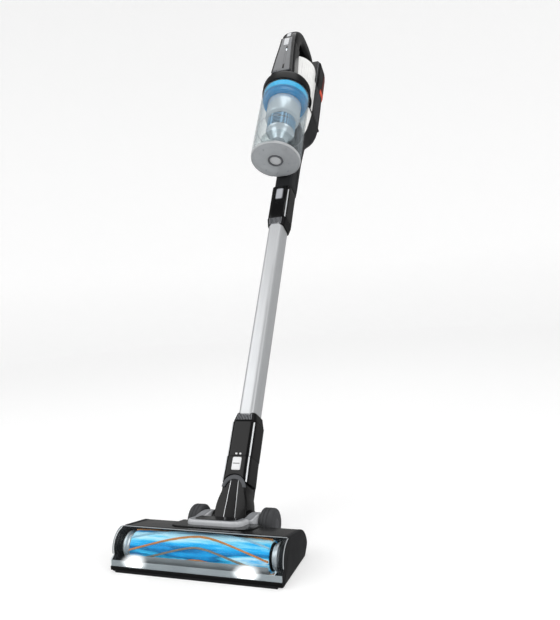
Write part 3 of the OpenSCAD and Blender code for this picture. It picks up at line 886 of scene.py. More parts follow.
# Woven pile and bristles: soft bands of blue, whose near-white stops are painted highlight, and thin coloured lines.
BRUSH = Pile("nylon_pile", "#2a95d6", 0.7, (
    (0.0, "#d8f6ff"), (0.12, "#7fdcfa"), (0.2, "#18b4f2"), (0.32, "#0a94d8"), (0.4, "#04679f"),
    (0.48, "#3cc4f4"), (0.56, "#d0f1fc"), (0.64, "#1ab2f0"), (0.8, "#0b8ed2"), (0.9, "#b5e9fb")))
BRISTLES = [Fibrous(name, colour, 0.6) for name, colour in (
    ("peach_bristle", "#f29a55"), ("blue_bristle", "#0b8cd6"), ("sky_bristle", "#b4e2f6"),
    ("grey_bristle", "#a4937f"))]
# Paper and board: dull, with a visible fibre. Diffusers: plain light.
PAPER = Fibrous("pleated_filter_paper", "#e3e6e4", 0.85)
BOARD = Fibrous("glass_fibre_board", "#1e6b3a", 0.5)
SWEEP = Paper("matt_white_paper", "#c4c4c4", 0.9)
LAMP = Lamp("lamp_diffuser", "#ffffff", 0.3)
SMALL_LAMP = Lamp("small_lamp_diffuser", "#ffffff", 0.3, 1.5)


# ---- pieces ----


def build(name: str, surfaces: Sequence[Surface], finishes: Sequence[Finish], body: str,
          replaces: Sequence[str] = (), weld: bool = False, sharp: float = 34.0) -> bpy.types.Object:
    """Makes one piece from its surfaces, dresses it and hangs it on its body.

    Args:
        name: The piece's name.
        surfaces: What it is made of.
        finishes: Its finishes, which the surfaces pick by index.
        body: The body it rides on.
        replaces: CAD nodes it stands for.
        weld: True to merge points that fall together.
        sharp: Angle in degrees past which an edge stays crisp.

    Returns:
        The piece.
    """
    points, faces, marks = [], [], []
    start = 0
    for part in surfaces:
        made = part.faces()
        points.append(part.points.reshape(-1, 3))
        faces += [[start + i for i in f] for f in made]
        marks += [part.finish] * len(made)
        start += len(points[-1])
    mesh = bpy.data.meshes.new(name)
    mesh.from_pydata((np.vstack(points) * MM).tolist(), [], faces)
    for finish in finishes:
        mesh.materials.append(finish.material())
    mesh.polygons.foreach_set("material_index", np.array(marks, np.int32))
    if weld:
        work = bmesh.new()
        work.from_mesh(mesh)
        bmesh.ops.remove_doubles(work, verts=work.verts, dist=1e-6)
        work.to_mesh(mesh)
        work.free()
    mesh.polygons.foreach_set("use_smooth", np.ones(len(mesh.polygons), bool))
    mesh.set_sharp_from_angle(angle=math.radians(sharp))
    mesh.update()
    piece = bpy.data.objects.new(name, mesh)
    bpy.context.scene.collection.objects.link(piece)
    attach(piece, body)
    if replaces:
        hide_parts(*replaces)
    LOG.info("%s: %d faces, rides on %s", name, len(mesh.polygons), body)
    return piece


def dress(nodes: dict[str, bpy.types.Object], finishes: dict[str, Finish]) -> None:
    """Gives CAD nodes that keep their shape a finish of their own.

    Args:
        nodes: The frame's nodes by name.
        finishes: The finish of each node.
    """
    for name, finish in finishes.items():
        nodes[name].data.materials.clear()
        nodes[name].data.materials.append(finish.material())
        LOG.info("%s: kept as drawn, in %s", name, finish.name)


# ---- floor head ----


def roof(y: np.ndarray) -> np.ndarray:
    """Height of the head's sloping roof at y: a straight fall from its front edge to its back edge."""
    return 54 - (y + 33) * 13 / 59


@dataclass
class FloorHead:
    """The motorised head: a clear window over the brush, a sloping roof, and a bezel that holds the axle.

    Attributes:
        nodes: The frame's CAD nodes.
        cap_x: Where the end caps start.
        half: Half of the head's width.
        brush: (y, z) of the brush's axis.
        window_r: Outer radius of the window.
        chamber_r: Radius of the brush's chamber.
    """

    nodes: dict[str, bpy.types.Object]
    cap_x: float = 127.0
    half: float = 135.0
    brush: tuple[float, float] = (-38.0, 26.0)
    window_r: float = 29.6
    chamber_r: float = 27.2

    def plate(self, half: float, front: float, reach: float, under: float, over: tuple[float, float],
              rim: float, finish: int = 0) -> Surface:
        """A plate on the roof with round front corners and a sloping rim.

        Each ring is the plan drawn in by a little more; its height runs straight from front to back.

        Args:
            half: Half width.
            front: y of the front edge.
            reach: Size of the front corners.
            under: Height of the lower edge over the roof.
            over: Height of the top over the roof, at the front edge and at the back.
            rim: Width of the sloping rim.
            finish: Index of the finish.

        Returns:
            The closed surface.
        """
        plan = rounded([(-half, 30.5, 1), (-half, front, reach), (half, front, reach), (half, 30.5, 1)], steps=16)
        inset = np.array([0, 0, rim * 0.12, rim * 0.4, rim * 0.75, rim])
        rise = np.array([0, 0.45, 0.72, 0.93, 1.0, 1.0])
        rings = drawn_in(plan, inset)
        x, y = rings[..., 0], rings[..., 1]
        top = over[0] + (over[1] - over[0]) * (y - front) / (30.5 - front)
        return Surface(upright(x, y, roof(y) + under + (top - under) * rise[:, None]), finish=finish)

    def shell(self) -> None:
        """Roof, back and chamber wall with a raised step round the bezel, the front lip and the grey apron."""
        wall = arc(self.brush, self.chamber_r, -57.8, 88, 30)
        corners = [*map(tuple, wall), (self.brush[0], 53.7), (-33, 54, 2), (26, 41, 9), (36.5, 28, 9), (40, 15, 7),
                   (28, 3, 2)]
        x = self.cap_x - 0.15
        build("head_shell", [
            slab(rounded(corners), -x, x, 0.3, 0.3, upright),
            self.plate(68, -20, 34, 0.05, (1.5, 1.7), 2.4)],
            [GLOSS_BLACK], "head", ["head_housing"])
        x = self.half - 0.6
        build("front_lip", [slab(rounded([(-75, 3.1, 0.5), (-75, 8.2, 1), (-74.2, 8.8, 0.5), (-69, 8.8, 0.5),
                                          (-69, 3.1, 0.5)]), -x, x, 0.3, 0.3, upright)],
              [SATIN_BLACK], "head", ["front_lip"])
        face = rounded([(-73.8, 8.9), (-72.8, 17.6, 1), (-69, 15.2, 1), (-69, 8.9)])
        lower = np.vstack([arc(self.brush, 27.0, 187, 226, 16), arc(self.brush, 26.3, 226, 187, 16)])
        build("brush_apron", [slab(face, -x + 1, x - 1, 0.2, 0.2, upright),
                              slab(lower, -111, 111, 0.1, 0.1, upright)], [APRON_GREY], "head")

    def window(self) -> None:
        """Clear arc over the brush with the slanted skirt below it, and an opaque light grey bead along its top and
        bands at its ends, a painted highlight on its edges.
        """
        r = self.window_r
        skirt = [[-74.2, 19.3], [-75, 9.0], [-74.0, 9.0], [-73.0, 18.0], [-65.8, 22.3]]
        pane = np.vstack([arc(self.brush, r, 94, 186, 40), skirt, arc(self.brush, r - 2, 185, 94, 40)])
        x = self.half - 1.2
        build("clear_window", [slab(pane, -x, x, 0.4, 0.4, upright)], [WINDOW], "head",
              ["clear_window"])
        cy, cz = self.brush
        # The bead and end bands stand in for the light that the clear edge catches: a painted highlight.
        bead = arc((cy - 1.9, cz + r - 0.3), 0.65, 0, 342, 12)
        ends = np.vstack([arc(self.brush, r + 0.05, 96, 184, 30), arc(self.brush, r - 1.6, 184, 96, 30)])
        build("window_edge", [slab(bead, -x + 1, x - 1, 0.3, 0.3, upright),
                              *[slab(ends, sx * (x + 0.05), sx * (x + 0.9), 0.1, 0.4, upright) for sx in (-1, 1)]],
              [EDGE_HIGHLIGHT], "head")

    def caps(self) -> None:
        """End caps with round outer edges, whose fronts lie under the window. The left one slides off."""
        r = self.window_r - 2.3
        outline = rounded([(-72.6, 0.2, 2), (-72.6, 8.8, 1), (-72.0, 17, 1),
                           *map(tuple, arc(self.brush, r, 188, 97, 26)), (-39.6, 54.2, 1), (-33, 54.4, 3),
                           (26, 41.3, 9), (36.6, 28, 9), (40, 15, 8), (24.5, 0.2, 3)])
        for side, sx, body in (("left", -1, "side_cap"), ("right", 1, "head")):
            build(f"end_cap_{side}", [slab(outline, sx * (self.cap_x + 0.05), sx * self.half, 0.4, 3.5, upright, 7)],
                  [DARK_GREY], body, [f"end_cap_{side}"])
        blocks = [turned([(9, sx * 113), (16.5, sx * 113), (17.5, sx * 114), (17.5, sx * 118), (20.5, sx * 118.6),
                          (20.5, sx * 121.5), (15, sx * 122), (15, sx * 126.6), (9, sx * 126.6)], Axis.HEAD,
                         self.brush, 64, closed=True) for sx in (-1, 1)]
        build("brush_end_rings", blocks, [SILVER], "head")

    def bezel(self) -> None:
        """Silver frame on the roof with a grey face, and the two arms that reach back to the axle."""
        arm = rounded([(29, 39.6, 1), (29, 46.4, 1), (62, 45.4, 14), (79, 42, 8), (90, 30, 9), (89, 14, 7),
                       (80, 7, 6), (60, 8, 8), (42, 17, 6), (38.5, 29, 4)])
        arms = [slab(arm, sx * 34, sx * 50, 1.6, 1.6, upright) for sx in (-1, 1)]
        build("bezel", [self.plate(46, -6, 28, 0.2, (9.0, 9.0), 3.6), *arms],
              [BEZEL], "head", ["bezel"])
        face = self.plate(42.6, -2.6, 25, 2.6, (9.3, 9.2), 0.5)
        pads = [slab(rounded([(31, 46.9, 0.3), (31, 47.3, 0.3), (60, 46.1, 8), (72, 43.6, 4), (72, 43.1, 2),
                              (60, 45.5, 8)]), sx * 36.5, sx * 47.5, 0.2, 0.2, upright) for sx in (-1, 1)]
        build("bezel_face", [face, *pads], [PANEL_GREY], "head")
        build("bezel_well", [self.plate(35.5, 1.5, 18, 2.6, (9.9, 9.6), 0.6)], [GLOSS_BLACK], "head")

    def wheels(self) -> None:
        """Rear wheels: two grooves in the tread, round shoulders and a dished hub."""
        tread = [(4.1, 21.4), (4.1, 0.6), (8.5, 0.6), (9.5, 2.2), (17.5, 2.2), (18.6, 0.6), (21.5, 0.2),
                 (23.6, 0.9), (24.8, 2.6), (25, 4.4), (24.95, 6.4), (24.1, 6.9), (24.1, 7.9), (24.95, 8.4),
                 (25, 11), (24.95, 12.4), (24.1, 12.9), (24.1, 13.9), (24.95, 14.4), (24.9, 17.2), (24.2, 19.6),
                 (22.6, 21.4), (20.4, 22.6)]
        hub = [(20.4, 22.6), (18.8, 22.8), (17.8, 21.9), (10.5, 21.3), (9.6, 22.4), (8.2, 22.9), (3.0, 23.0)]
        for side, sign in SIDES:
            rings = [turned([(r, sign * (51.5 + h)) for r, h in tread], Axis.HEAD, AXLE, 96),
                     turned([(r - 0.3 * (i < 1), sign * (51.4 + h)) for i, (r, h) in enumerate(hub)],
                            Axis.HEAD, AXLE, 96, finish=1)]
            build(f"wheel_{side}", rings, [TYRE, HUB], f"{side}_wheel", [f"wheel_{side}"])

    def tufts(self, turn: float, finish: int) -> Surface:
        """One bristle strip: a thin fin whose foot winds round the core while its tip is cut in tufts.

        With u from -1 to 1 across the head, angle = turn + 85 (sqrt(u^2 + 0.03) - 0.17) degrees, a smooth
        chevron, and the tip radius dips by 0.7 |sin|^3 of the way.

        Args:
            turn: Angle at which the strip starts, in degrees.
            finish: Index of the finish.

        Returns:
            The closed surface.
        """
        t = np.linspace(0, 1, 221)[:, None]
        x = -110 + 220 * t
        tip = 24.3 - 0.7 * np.abs(np.sin(x * np.pi / 3.2)) ** 3
        around = np.array([[0, 0, 0, 1, 1, 1]], float)
        high = np.array([[0, 0.5, 1, 1, 0.5, 0]])
        wide = np.array([[1.9, 1.6, 0.9, 0.9, 1.6, 1.9]])
        r = 18.6 + (tip - 18.6) * high
        a = np.radians(turn + 85 * (np.sqrt((2 * t - 1) ** 2 + 0.03) - 0.17)) + (2 * around - 1) * wide / r
        return Surface(upright(x, self.brush[0] + r * np.cos(a), self.brush[1] + r * np.sin(a)), finish=finish)

    def brush_roll(self) -> None:
        """Pile sleeve on the core and the eight bristle strips that wind through it."""
        sleeve = [(19.05, -110), (20.6, -110.6), (21.6, -109.8), *[(22 + 0.25 * math.sin(k * 1.9), -108 + k * 4.5)
                  for k in range(49)], (21.6, 109.8), (20.6, 110.6), (19.05, 110)]
        build("brush_pile", [turned(sleeve, Axis.HEAD, self.brush, 96, closed=True)], [BRUSH], "brush")
        build("bristle_strips", [self.tufts(45 * k + 12, (0, 2, 0, 3)[k % 4]) for k in range(8)], BRISTLES, "brush",
              ["bristle_strips"], sharp=60)

    def lamps(self) -> None:
        """Lenses of the two floor lamps, just under the skirt, and the light they throw into the window."""
        spans = ((-112, -78), (66, 98))
        lens = rounded([(-74.0, 10.2, 1), (-73.3, 16.6, 1), (-72.4, 16.4, 0.5), (-72.8, 10.4, 0.5)])
        build("lamp_lenses", [slab(lens, a + 4, b - 4, 1, 1, upright) for a, b in spans],
              [LAMP], "head", ["lamp_lenses"])
        for k, (a, b) in enumerate(spans):
            mid = (a + b) / 2
            x = np.linspace(mid - 34, mid + 34, 24)[None]
            run = np.array([[-74.15, 9.3], [-73.5, 17.4], [-71.5, 19.6], [-66.9, 23.2], [-66.6, 29]])[:, None]
            sheet = Surface(upright(x, run[..., 0], run[..., 1]), around=False)
            build(f"lamp_glow_{k}", [sheet], [Glow(f"lamp_glow_{k}", "#ffffff", 0.5, mid)], "head")

    def make(self) -> None:
        """Builds the head in order and dresses the CAD nodes that stay."""
        for step in (self.shell, self.window, self.caps, self.bezel, self.wheels, self.brush_roll, self.lamps):
            step()
        dress(self.nodes, {
            "sole_plate": MATT_BLACK, "wheel_axle": STEEL, "brush_core": MATT_BLACK, "brush_bearings": STEEL,
            "brush_motor": MOTOR, "motor_pulley": STEEL, "drive_belt": SEAL, "neck_hose": SEAL,
            "head_screws": STEEL})


# ---- neck ----


@dataclass
class Neck:
    """The joint above the head: a yoke that tips on the axle, and the housing that swivels on the yoke.

    Attributes:
        nodes: The frame's CAD nodes.
        swivel_s: Height of the swivel pin along the stick.
        arch_r: Radius of the yoke's arched top.
    """

    nodes: dict[str, bpy.types.Object]
    swivel_s: float = 49.0
    arch_r: float = 21.3

    def yoke(self) -> None:
        """Black fork with flared flanks, an arched top, an inset front panel and a grey crescent."""
        top = arc((0, self.swivel_s), self.arch_r, 0, 180, 40)
        side = rounded([(-21.3, 44), (-27, 26, 10), (-28.3, 6, 6), (-27, -6, 4), (27, -6, 4), (28.3, 6, 6),
                        (27, 26, 10), (21.3, 44)])
        body = slab(np.vstack([top, side]), -22, 16, 2.6, 2, facing_front)
        barrel = turned([(12, -33), (18.6, -33), (20, -31.6), (20, 31.6), (18.6, 33), (12, 33)], Axis.ACROSS, (0, 0),
                        96)
        build("neck_yoke", [body, barrel], [GLOSS_BLACK], "yoke", ["neck_yoke"])
        frame = rounded([(-10.5, -3, 2), (-9, 26, 12), (-6.9, 64, 2), (6.9, 64, 2), (9, 26, 12), (10.5, -3, 2)])
        build("yoke_panel_edge", [slab(frame, -22.6, -21.8, 0.2, 0.1, facing_front, 3)],
              [SILVER], "yoke")
        build("yoke_panel", [slab(drawn_in(frame, np.array([0.9]))[0], -23.0, -21.9, 0.4, 0.1, facing_front)],
              [SATIN_BLACK], "yoke")
        moon = np.vstack([arc((0, self.swivel_s), 21.1, 2, 178, 40),
                          arc((0, self.swivel_s - 2.5), 16.2, 169, 11, 40)])
        build("neck_arch", [slab(moon, -24.6, -22, 0.8, 0.1, facing_front)], [RING_GREY], "yoke",
              ["neck_arch"])
        trims = [edge_trim(sx, (28.9, 28.6, 27.2, 24.4), (-22.2, -22.2, -22.2, -22.2), (0, 10, 26, 36), w)
                 for sx, w in ((1, 2.6), (-1, 1.2))]
        build("yoke_trim", trims, [SILVER], "yoke")

    def housing(self) -> None:
        """Latch housing: round front, arched underneath to clear the yoke, with a white push button."""

        def arch(x: np.ndarray, v: np.ndarray) -> np.ndarray:
            """Lower end: the circle of the yoke with clearance, and level beyond it."""
            reach = self.arch_r + 0.5
            return np.maximum(58.0, self.swivel_s + np.sqrt(np.maximum(reach**2 - x**2, 0)))

        def taper(t: np.ndarray, x: np.ndarray, v: np.ndarray) -> tuple[np.ndarray, np.ndarray]:
            """Narrows the housing a little towards its top."""
            return x * (1.02 - 0.04 * t), v

        body = pillar(section(22.6, -26, 24, 10, 144), arch, 100.9, 0.5, 0.5, 4, taper)
        tongue = pillar(section(20, 16.8, 24, 3), 38, 60, 1.5, 0.2)
        build("latch_housing", [body, tongue], [GLOSS_BLACK], "neck", ["latch_housing"], weld=True)
        trims = [edge_trim(sx, (23.4, 22.9, 22.7), (-26.4, -26.4, -26.4), (59, 80, 100.6), w)
                 for sx, w in ((1, 2.4), (-1, 1.0))]
        build("housing_trim", trims, [SILVER], "neck")
        face = oblong(-7.9, 7.9, 77, 99, 3)
        groove = oblong(-6, 6, 87.4, 88.6, 0.5)
        build("latch_button", [slab(face, -27.2, -23, 1.2, 0.1, facing_front),
                               slab(groove, -27.35, -26.6, 0.1, 0.1, facing_front, 3, 1)],
              [BUTTON_WHITE, SATIN_BLACK], "neck_catch", ["latch_button"])

    def make(self) -> None:
        """Builds the neck in order."""
        self.yoke()
        self.housing()
        dress(self.nodes, {"swivel_pin": STEEL})


# ---- wand ----


@dataclass
class Wand:
    """Aluminium tube between two black connectors, each with a ribbed ferrule.

    Attributes:
        low: Where the lower connector starts along the stick.
        high: Where the upper connector ends.
        tube: Half width, front and back of the tube.
    """

    low: float = 101.3
    high: float = 688.9
    tube: tuple[float, float, float] = (15.2, -20.95, 20.95)

    def ferrule(self, s0: float, s1: float, big: float, small: float,
                rows: Sequence[tuple[float, float]]) -> Surface:
        """Collar that narrows towards the tube, with short ribs on its front.

        Rib height = 0.8 mm times a clipped cosine of x with 3.4 mm spacing, within each row's span of s.

        Args:
            s0: End at the connector.
            s1: End at the tube.
            big: Size factor at the connector.
            small: Size factor at the tube.
            rows: Spans of s that hold ribs, as shares of the way.

        Returns:
            The closed surface.
        """

        def ribs(t: np.ndarray, x: np.ndarray, v: np.ndarray) -> tuple[np.ndarray, np.ndarray]:
            """Narrows the collar and raises the ribs on its front."""
            scale = big + (small - big) * t
            on = sum(((t > a) & (t < b)).astype(float) for a, b in rows)
            comb = np.clip(np.cos(2 * np.pi * x / 3.4) * 1.6, -0.5, 1) * (np.abs(x) < 15) * (v < -14)
            return x * scale, (v - 0.5) * scale + 0.5 - 0.8 * on * comb

        low, high = (s0, s1) if s1 > s0 else (s1, s0)
        return pillar(section(21, -23.8, 24.8, 9, 300), low, high, 1.2, 1.2, 26,
                      ribs if s1 > s0 else lambda t, x, v: ribs(1 - t, x, v))

    def make(self) -> None:
        """Builds the wand from its foot up."""
        lower = pillar(section(22, -24.6, 26, 10), self.low, 162.8, 0.6, 1.6, 24)
        build("lower_connector", [lower], [GLOSS_BLACK], "wand", ["lower_connector"])
        half, front, back = self.tube
        build("wand_tube", [pillar(section(half, front, back, 9, 96), 150, 622, 0.4, 0.4, 24)],
              [ALUMINIUM], "wand", ["wand_tube"])
        runs = [((0.98, 0.9), (-24.2, -21.9), (165, 177)), ((0.96, 0.88), (-23.4, -21.2), (602.5, 588))]
        ribs = [strip(np.full(6, x) * np.linspace(*scale, 6), np.linspace(*front_v, 6), np.linspace(*s, 6),
                      (1, 0, 0), (0, -1, 0), 0.9, 0.9, 1)
                for scale, front_v, s in runs for x in np.arange(-13.5, 14, 3.0)]
        build("wand_ferrules", [*ribs, self.ferrule(162.9, 179, 1.0, 0.86, ((0.12, 0.42), (0.55, 0.86))),
                                self.ferrule(604, 586, 0.97, 0.86, ((0.1, 0.88),))],
              [SATIN_BLACK, PANEL_GREY], "wand", ["wand_ferrules"], sharp=50)
        upper = pillar(section(20.5, -22.5, 24.5, 10), 604.1, self.high, 1.6, 0.6, 6)
        build("upper_connector", [upper], [GLOSS_BLACK], "wand", ["upper_connector"])
        lines = [edge_trim(sx, (22.4, 22.4, 22.4), (-25, -25, -25), (102, 130, 160), w)
                 for sx, w in ((1, 2.4), (-1, 1.0))]
        lines.append(edge_trim(1, (20.9, 20.9, 20.9), (-22.9, -22.9, -22.9), (606, 640, 678), 2.2))
        build("wand_trim", lines, [SILVER], "wand")
        pad = oblong(-8.4, 8.4, 652.6, 681.4, 4)
        slot = oblong(-5, 5, 683.4, 686.6, 1.2)
        marks = [oblong(x0, x0 + 3.6, 103.6, 106.6, 1) for x0 in (-5.4, 1.8)]
        build("button_frame", [slab(pad, -23.3, -21.5, 0.6, 0.1, facing_front),
                               slab(slot, -22.9, -21.5, 0.2, 0.1, facing_front, 3, 1),
                               *[slab(m, -24.9, -23.5, 0.2, 0.1, facing_front, 3, 2) for m in marks]],
              [RING_GREY, MATT_BLACK, BUTTON_WHITE], "wand")
        face = oblong(-6.9, 6.9, 654, 680, 3.4)
        build("wand_button", [slab(face, -24.2, -19.6, 1.2, 0.1, facing_front)], [BUTTON_GREY],
              "wand_catch", ["wand_button"])


# ---- dust bin ----


@dataclass
class DustBin:
    """Clear bin: its wall, the frosted door below, and the cyclones inside.

    Attributes:
        nodes: The frame's CAD nodes.
        axis: (x, v) of the bin's axis.
        radius: Outer radius of the wall.
        low: Lower edge of the wall along the stick.
        high: Upper edge of the wall.
    """

    nodes: dict[str, bpy.types.Object]
    axis: tuple[float, float] = (0.0, -68.0)
    radius: float = 53.0
    low: float = 724.0
    high: float = 908.0

    def ring(self, profile: Sequence[tuple[float, float]], closed: bool = False, n: int = 96) -> Surface:
        """A profile of points (radius, s) turned about the bin's axis, with n points around."""
        return turned(profile, Axis.STICK, self.axis, n, closed)

    def cut_back(self, surface: Surface, limit: float) -> Surface:
        """Flattens a door piece along the hinge, so that it clears the wall as it swings: v = min(v, limit).

        Args:
            surface: The piece as turned.
            limit: Furthest v that is left.

        Returns:
            The piece with its back cut straight.
        """
        x, y, z = np.moveaxis(surface.points, -1, 0)
        y, z = y - AXLE[0], z - AXLE[1]
        v = np.minimum(y * COS - z * SIN, limit)
        s = y * SIN + z * COS
        return Surface(stick(x, v, s), surface.around, surface.along, surface.ends, surface.finish)

    def wall(self) -> None:
        """Wall with round rims, and the fill line inside it."""
        r, a, b = self.radius, self.low, self.high
        tube = [(r - 2.3, a + 0.4), (r - 1.2, a), (r - 0.3, a + 0.5), (r, a + 1.6), (r, a + 40), (r, a + 90),
                (r, b - 26), (r, b - 8), (r - 0.4, b - 0.6), (r - 1.2, b), (r - 2.3, b - 0.6), (r - 2.3, a + 90)]
        build("bin_tube", [self.ring(tube, True, 128)], [CLEAR], "bin", ["bin_tube"])
        line = [(r - 2.9, a + 74), (r - 2.4, a + 74.2), (r - 2.4, a + 75.4), (r - 2.9, a + 75.6)]
        build("bin_fill_line", [self.ring(line, True)], [PANEL_GREY], "bin")

    def top(self) -> None:
        """Blue ring that holds the cyclones, with a step, and a bright sky blue upper lip and outer band that are a
        painted highlight along the ring's top.
        """
        r = self.radius - 2.6
        build("bin_ring", [self.ring([
            (38.2, 879), (r - 6, 879.2), (r - 3, 881.5), (r - 2.4, 889), (r - 0.6, 890), (r, 892), (r, 906),
            (r - 0.8, 907.8), (38.2, 907.8)], True)], [BLUE_CLEAR], "bin", ["bin_ring"])
        # Thin sky blue pieces on the ring's top and outer face: a painted highlight.
        lips = [(r - 5, 908.0), (r - 1.2, 907.9), (r - 1.0, 908.5), (r - 5, 908.6)]
        bead = [(r + 0.02, 893), (r + 0.25, 893), (r + 0.25, 906.4), (r + 0.02, 906.4)]
        build("bin_ring_lip", [self.ring(lips, True), self.ring(bead, True)], [SKY_HIGHLIGHT], "bin")

    def cyclones(self) -> None:
        """Plated cyclone body with the pierced shroud below it, and the skirt that keeps the dust down."""
        build("cyclone", [self.ring([
            (13.5, 770), (16, 770.4), (21.8, 786), (27, 794), (30.6, 797), (31.2, 798.4), (29.8, 799), (29.8, 831),
            (31.6, 832), (36.6, 835.6), (37.3, 838), (37.4, 872), (37.5, 902), (15, 902)])],
            [CYCLONE], "bin", ["cyclone"])
        build("cyclone_shroud", [self.ring([(29.9, 799.4), (31.0, 799.8), (31.0, 830.4), (29.9, 830.8)], True)],
              [SHROUD], "bin")
        skirt = [(20.4, 782.2), (36, 768), (38, 768.2), (37.6, 769.6), (23, 786), (20.6, 786)]
        build("cyclone_skirt", [self.ring(skirt, True)], [CLEAR], "bin", ["cyclone_skirt"])

    def door(self) -> None:
        """Frosted door, dished, with a dark ring round its middle boss, a rim, a hinge and its latch."""
        dish = self.ring([
            (47.6, 727.8), (49.7, 727.8), (49.8, 723.7), (52.7, 723.6), (52.75, 722.6), (52.0, 720.6),
            (50.2, 718.9), (47, 717.7), (43, 717.2), (34, 717.0), (22, 718.0), (16.4, 718.6), (16.4, 721.4),
            (47.4, 721.4)], True, 128)
        build("bin_door", [self.cut_back(dish, -19.6)], [FROSTED], "door", ["bin_door"])
        build("door_ring", [self.ring([(12.6, 721.2), (12.6, 717.0), (13.2, 716.3), (15.2, 716.3), (15.9, 717.0),
                                       (16.2, 718.4), (16.2, 721.2)], True)], [RING_GREY], "door")
        build("door_boss", [self.ring([(12.5, 721.3), (12.5, 719.0), (11.2, 718.4), (4, 718.8)])],
              [APRON_GREY], "door")
        rim = [(51.0, 718.7), (52.5, 719.9), (53.0, 722.4), (53.0, 723.4), (52.7, 723.4), (52.6, 722.4),
               (51.9, 720.5)]
        build("door_rim", [self.cut_back(self.ring(rim, True, 128), -22.6)], [APRON_GREY], "door")
        hinge = turned([(1.35, -11.8), (2.4, -11.9), (3, -11.2), (3, 11.2), (2.4, 11.9), (1.35, 11.8)],
                       Axis.ACROSS, (-20, 722), 32, closed=True)
        build("door_hinge", [hinge], [FROSTED], "door")
        t = np.radians(np.linspace(-90 - 15, -90 + 15, 22))[:, None]
        cut = rounded([(53.4, 720, 0.8), (55.6, 720, 0.9), (55.6, 738, 2), (53.9, 742, 0.8), (53.4, 742, 0.3)])
        r, s = cut[:, 0][None], cut[:, 1][None]
        build("door_latch", [Surface(stick(r * np.cos(t), -68 + r * np.sin(t), s))], [CLEAR], "door_catch",
              ["door_latch"])

    def make(self) -> None:
        """Builds the bin in order."""
        for step in (self.wall, self.top, self.cyclones, self.door):
            step()
        dress(self.nodes, {"pleated_filter": PAPER, "bin_seal": SEAL, "door_pin": STEEL})


# ---- hand unit ----


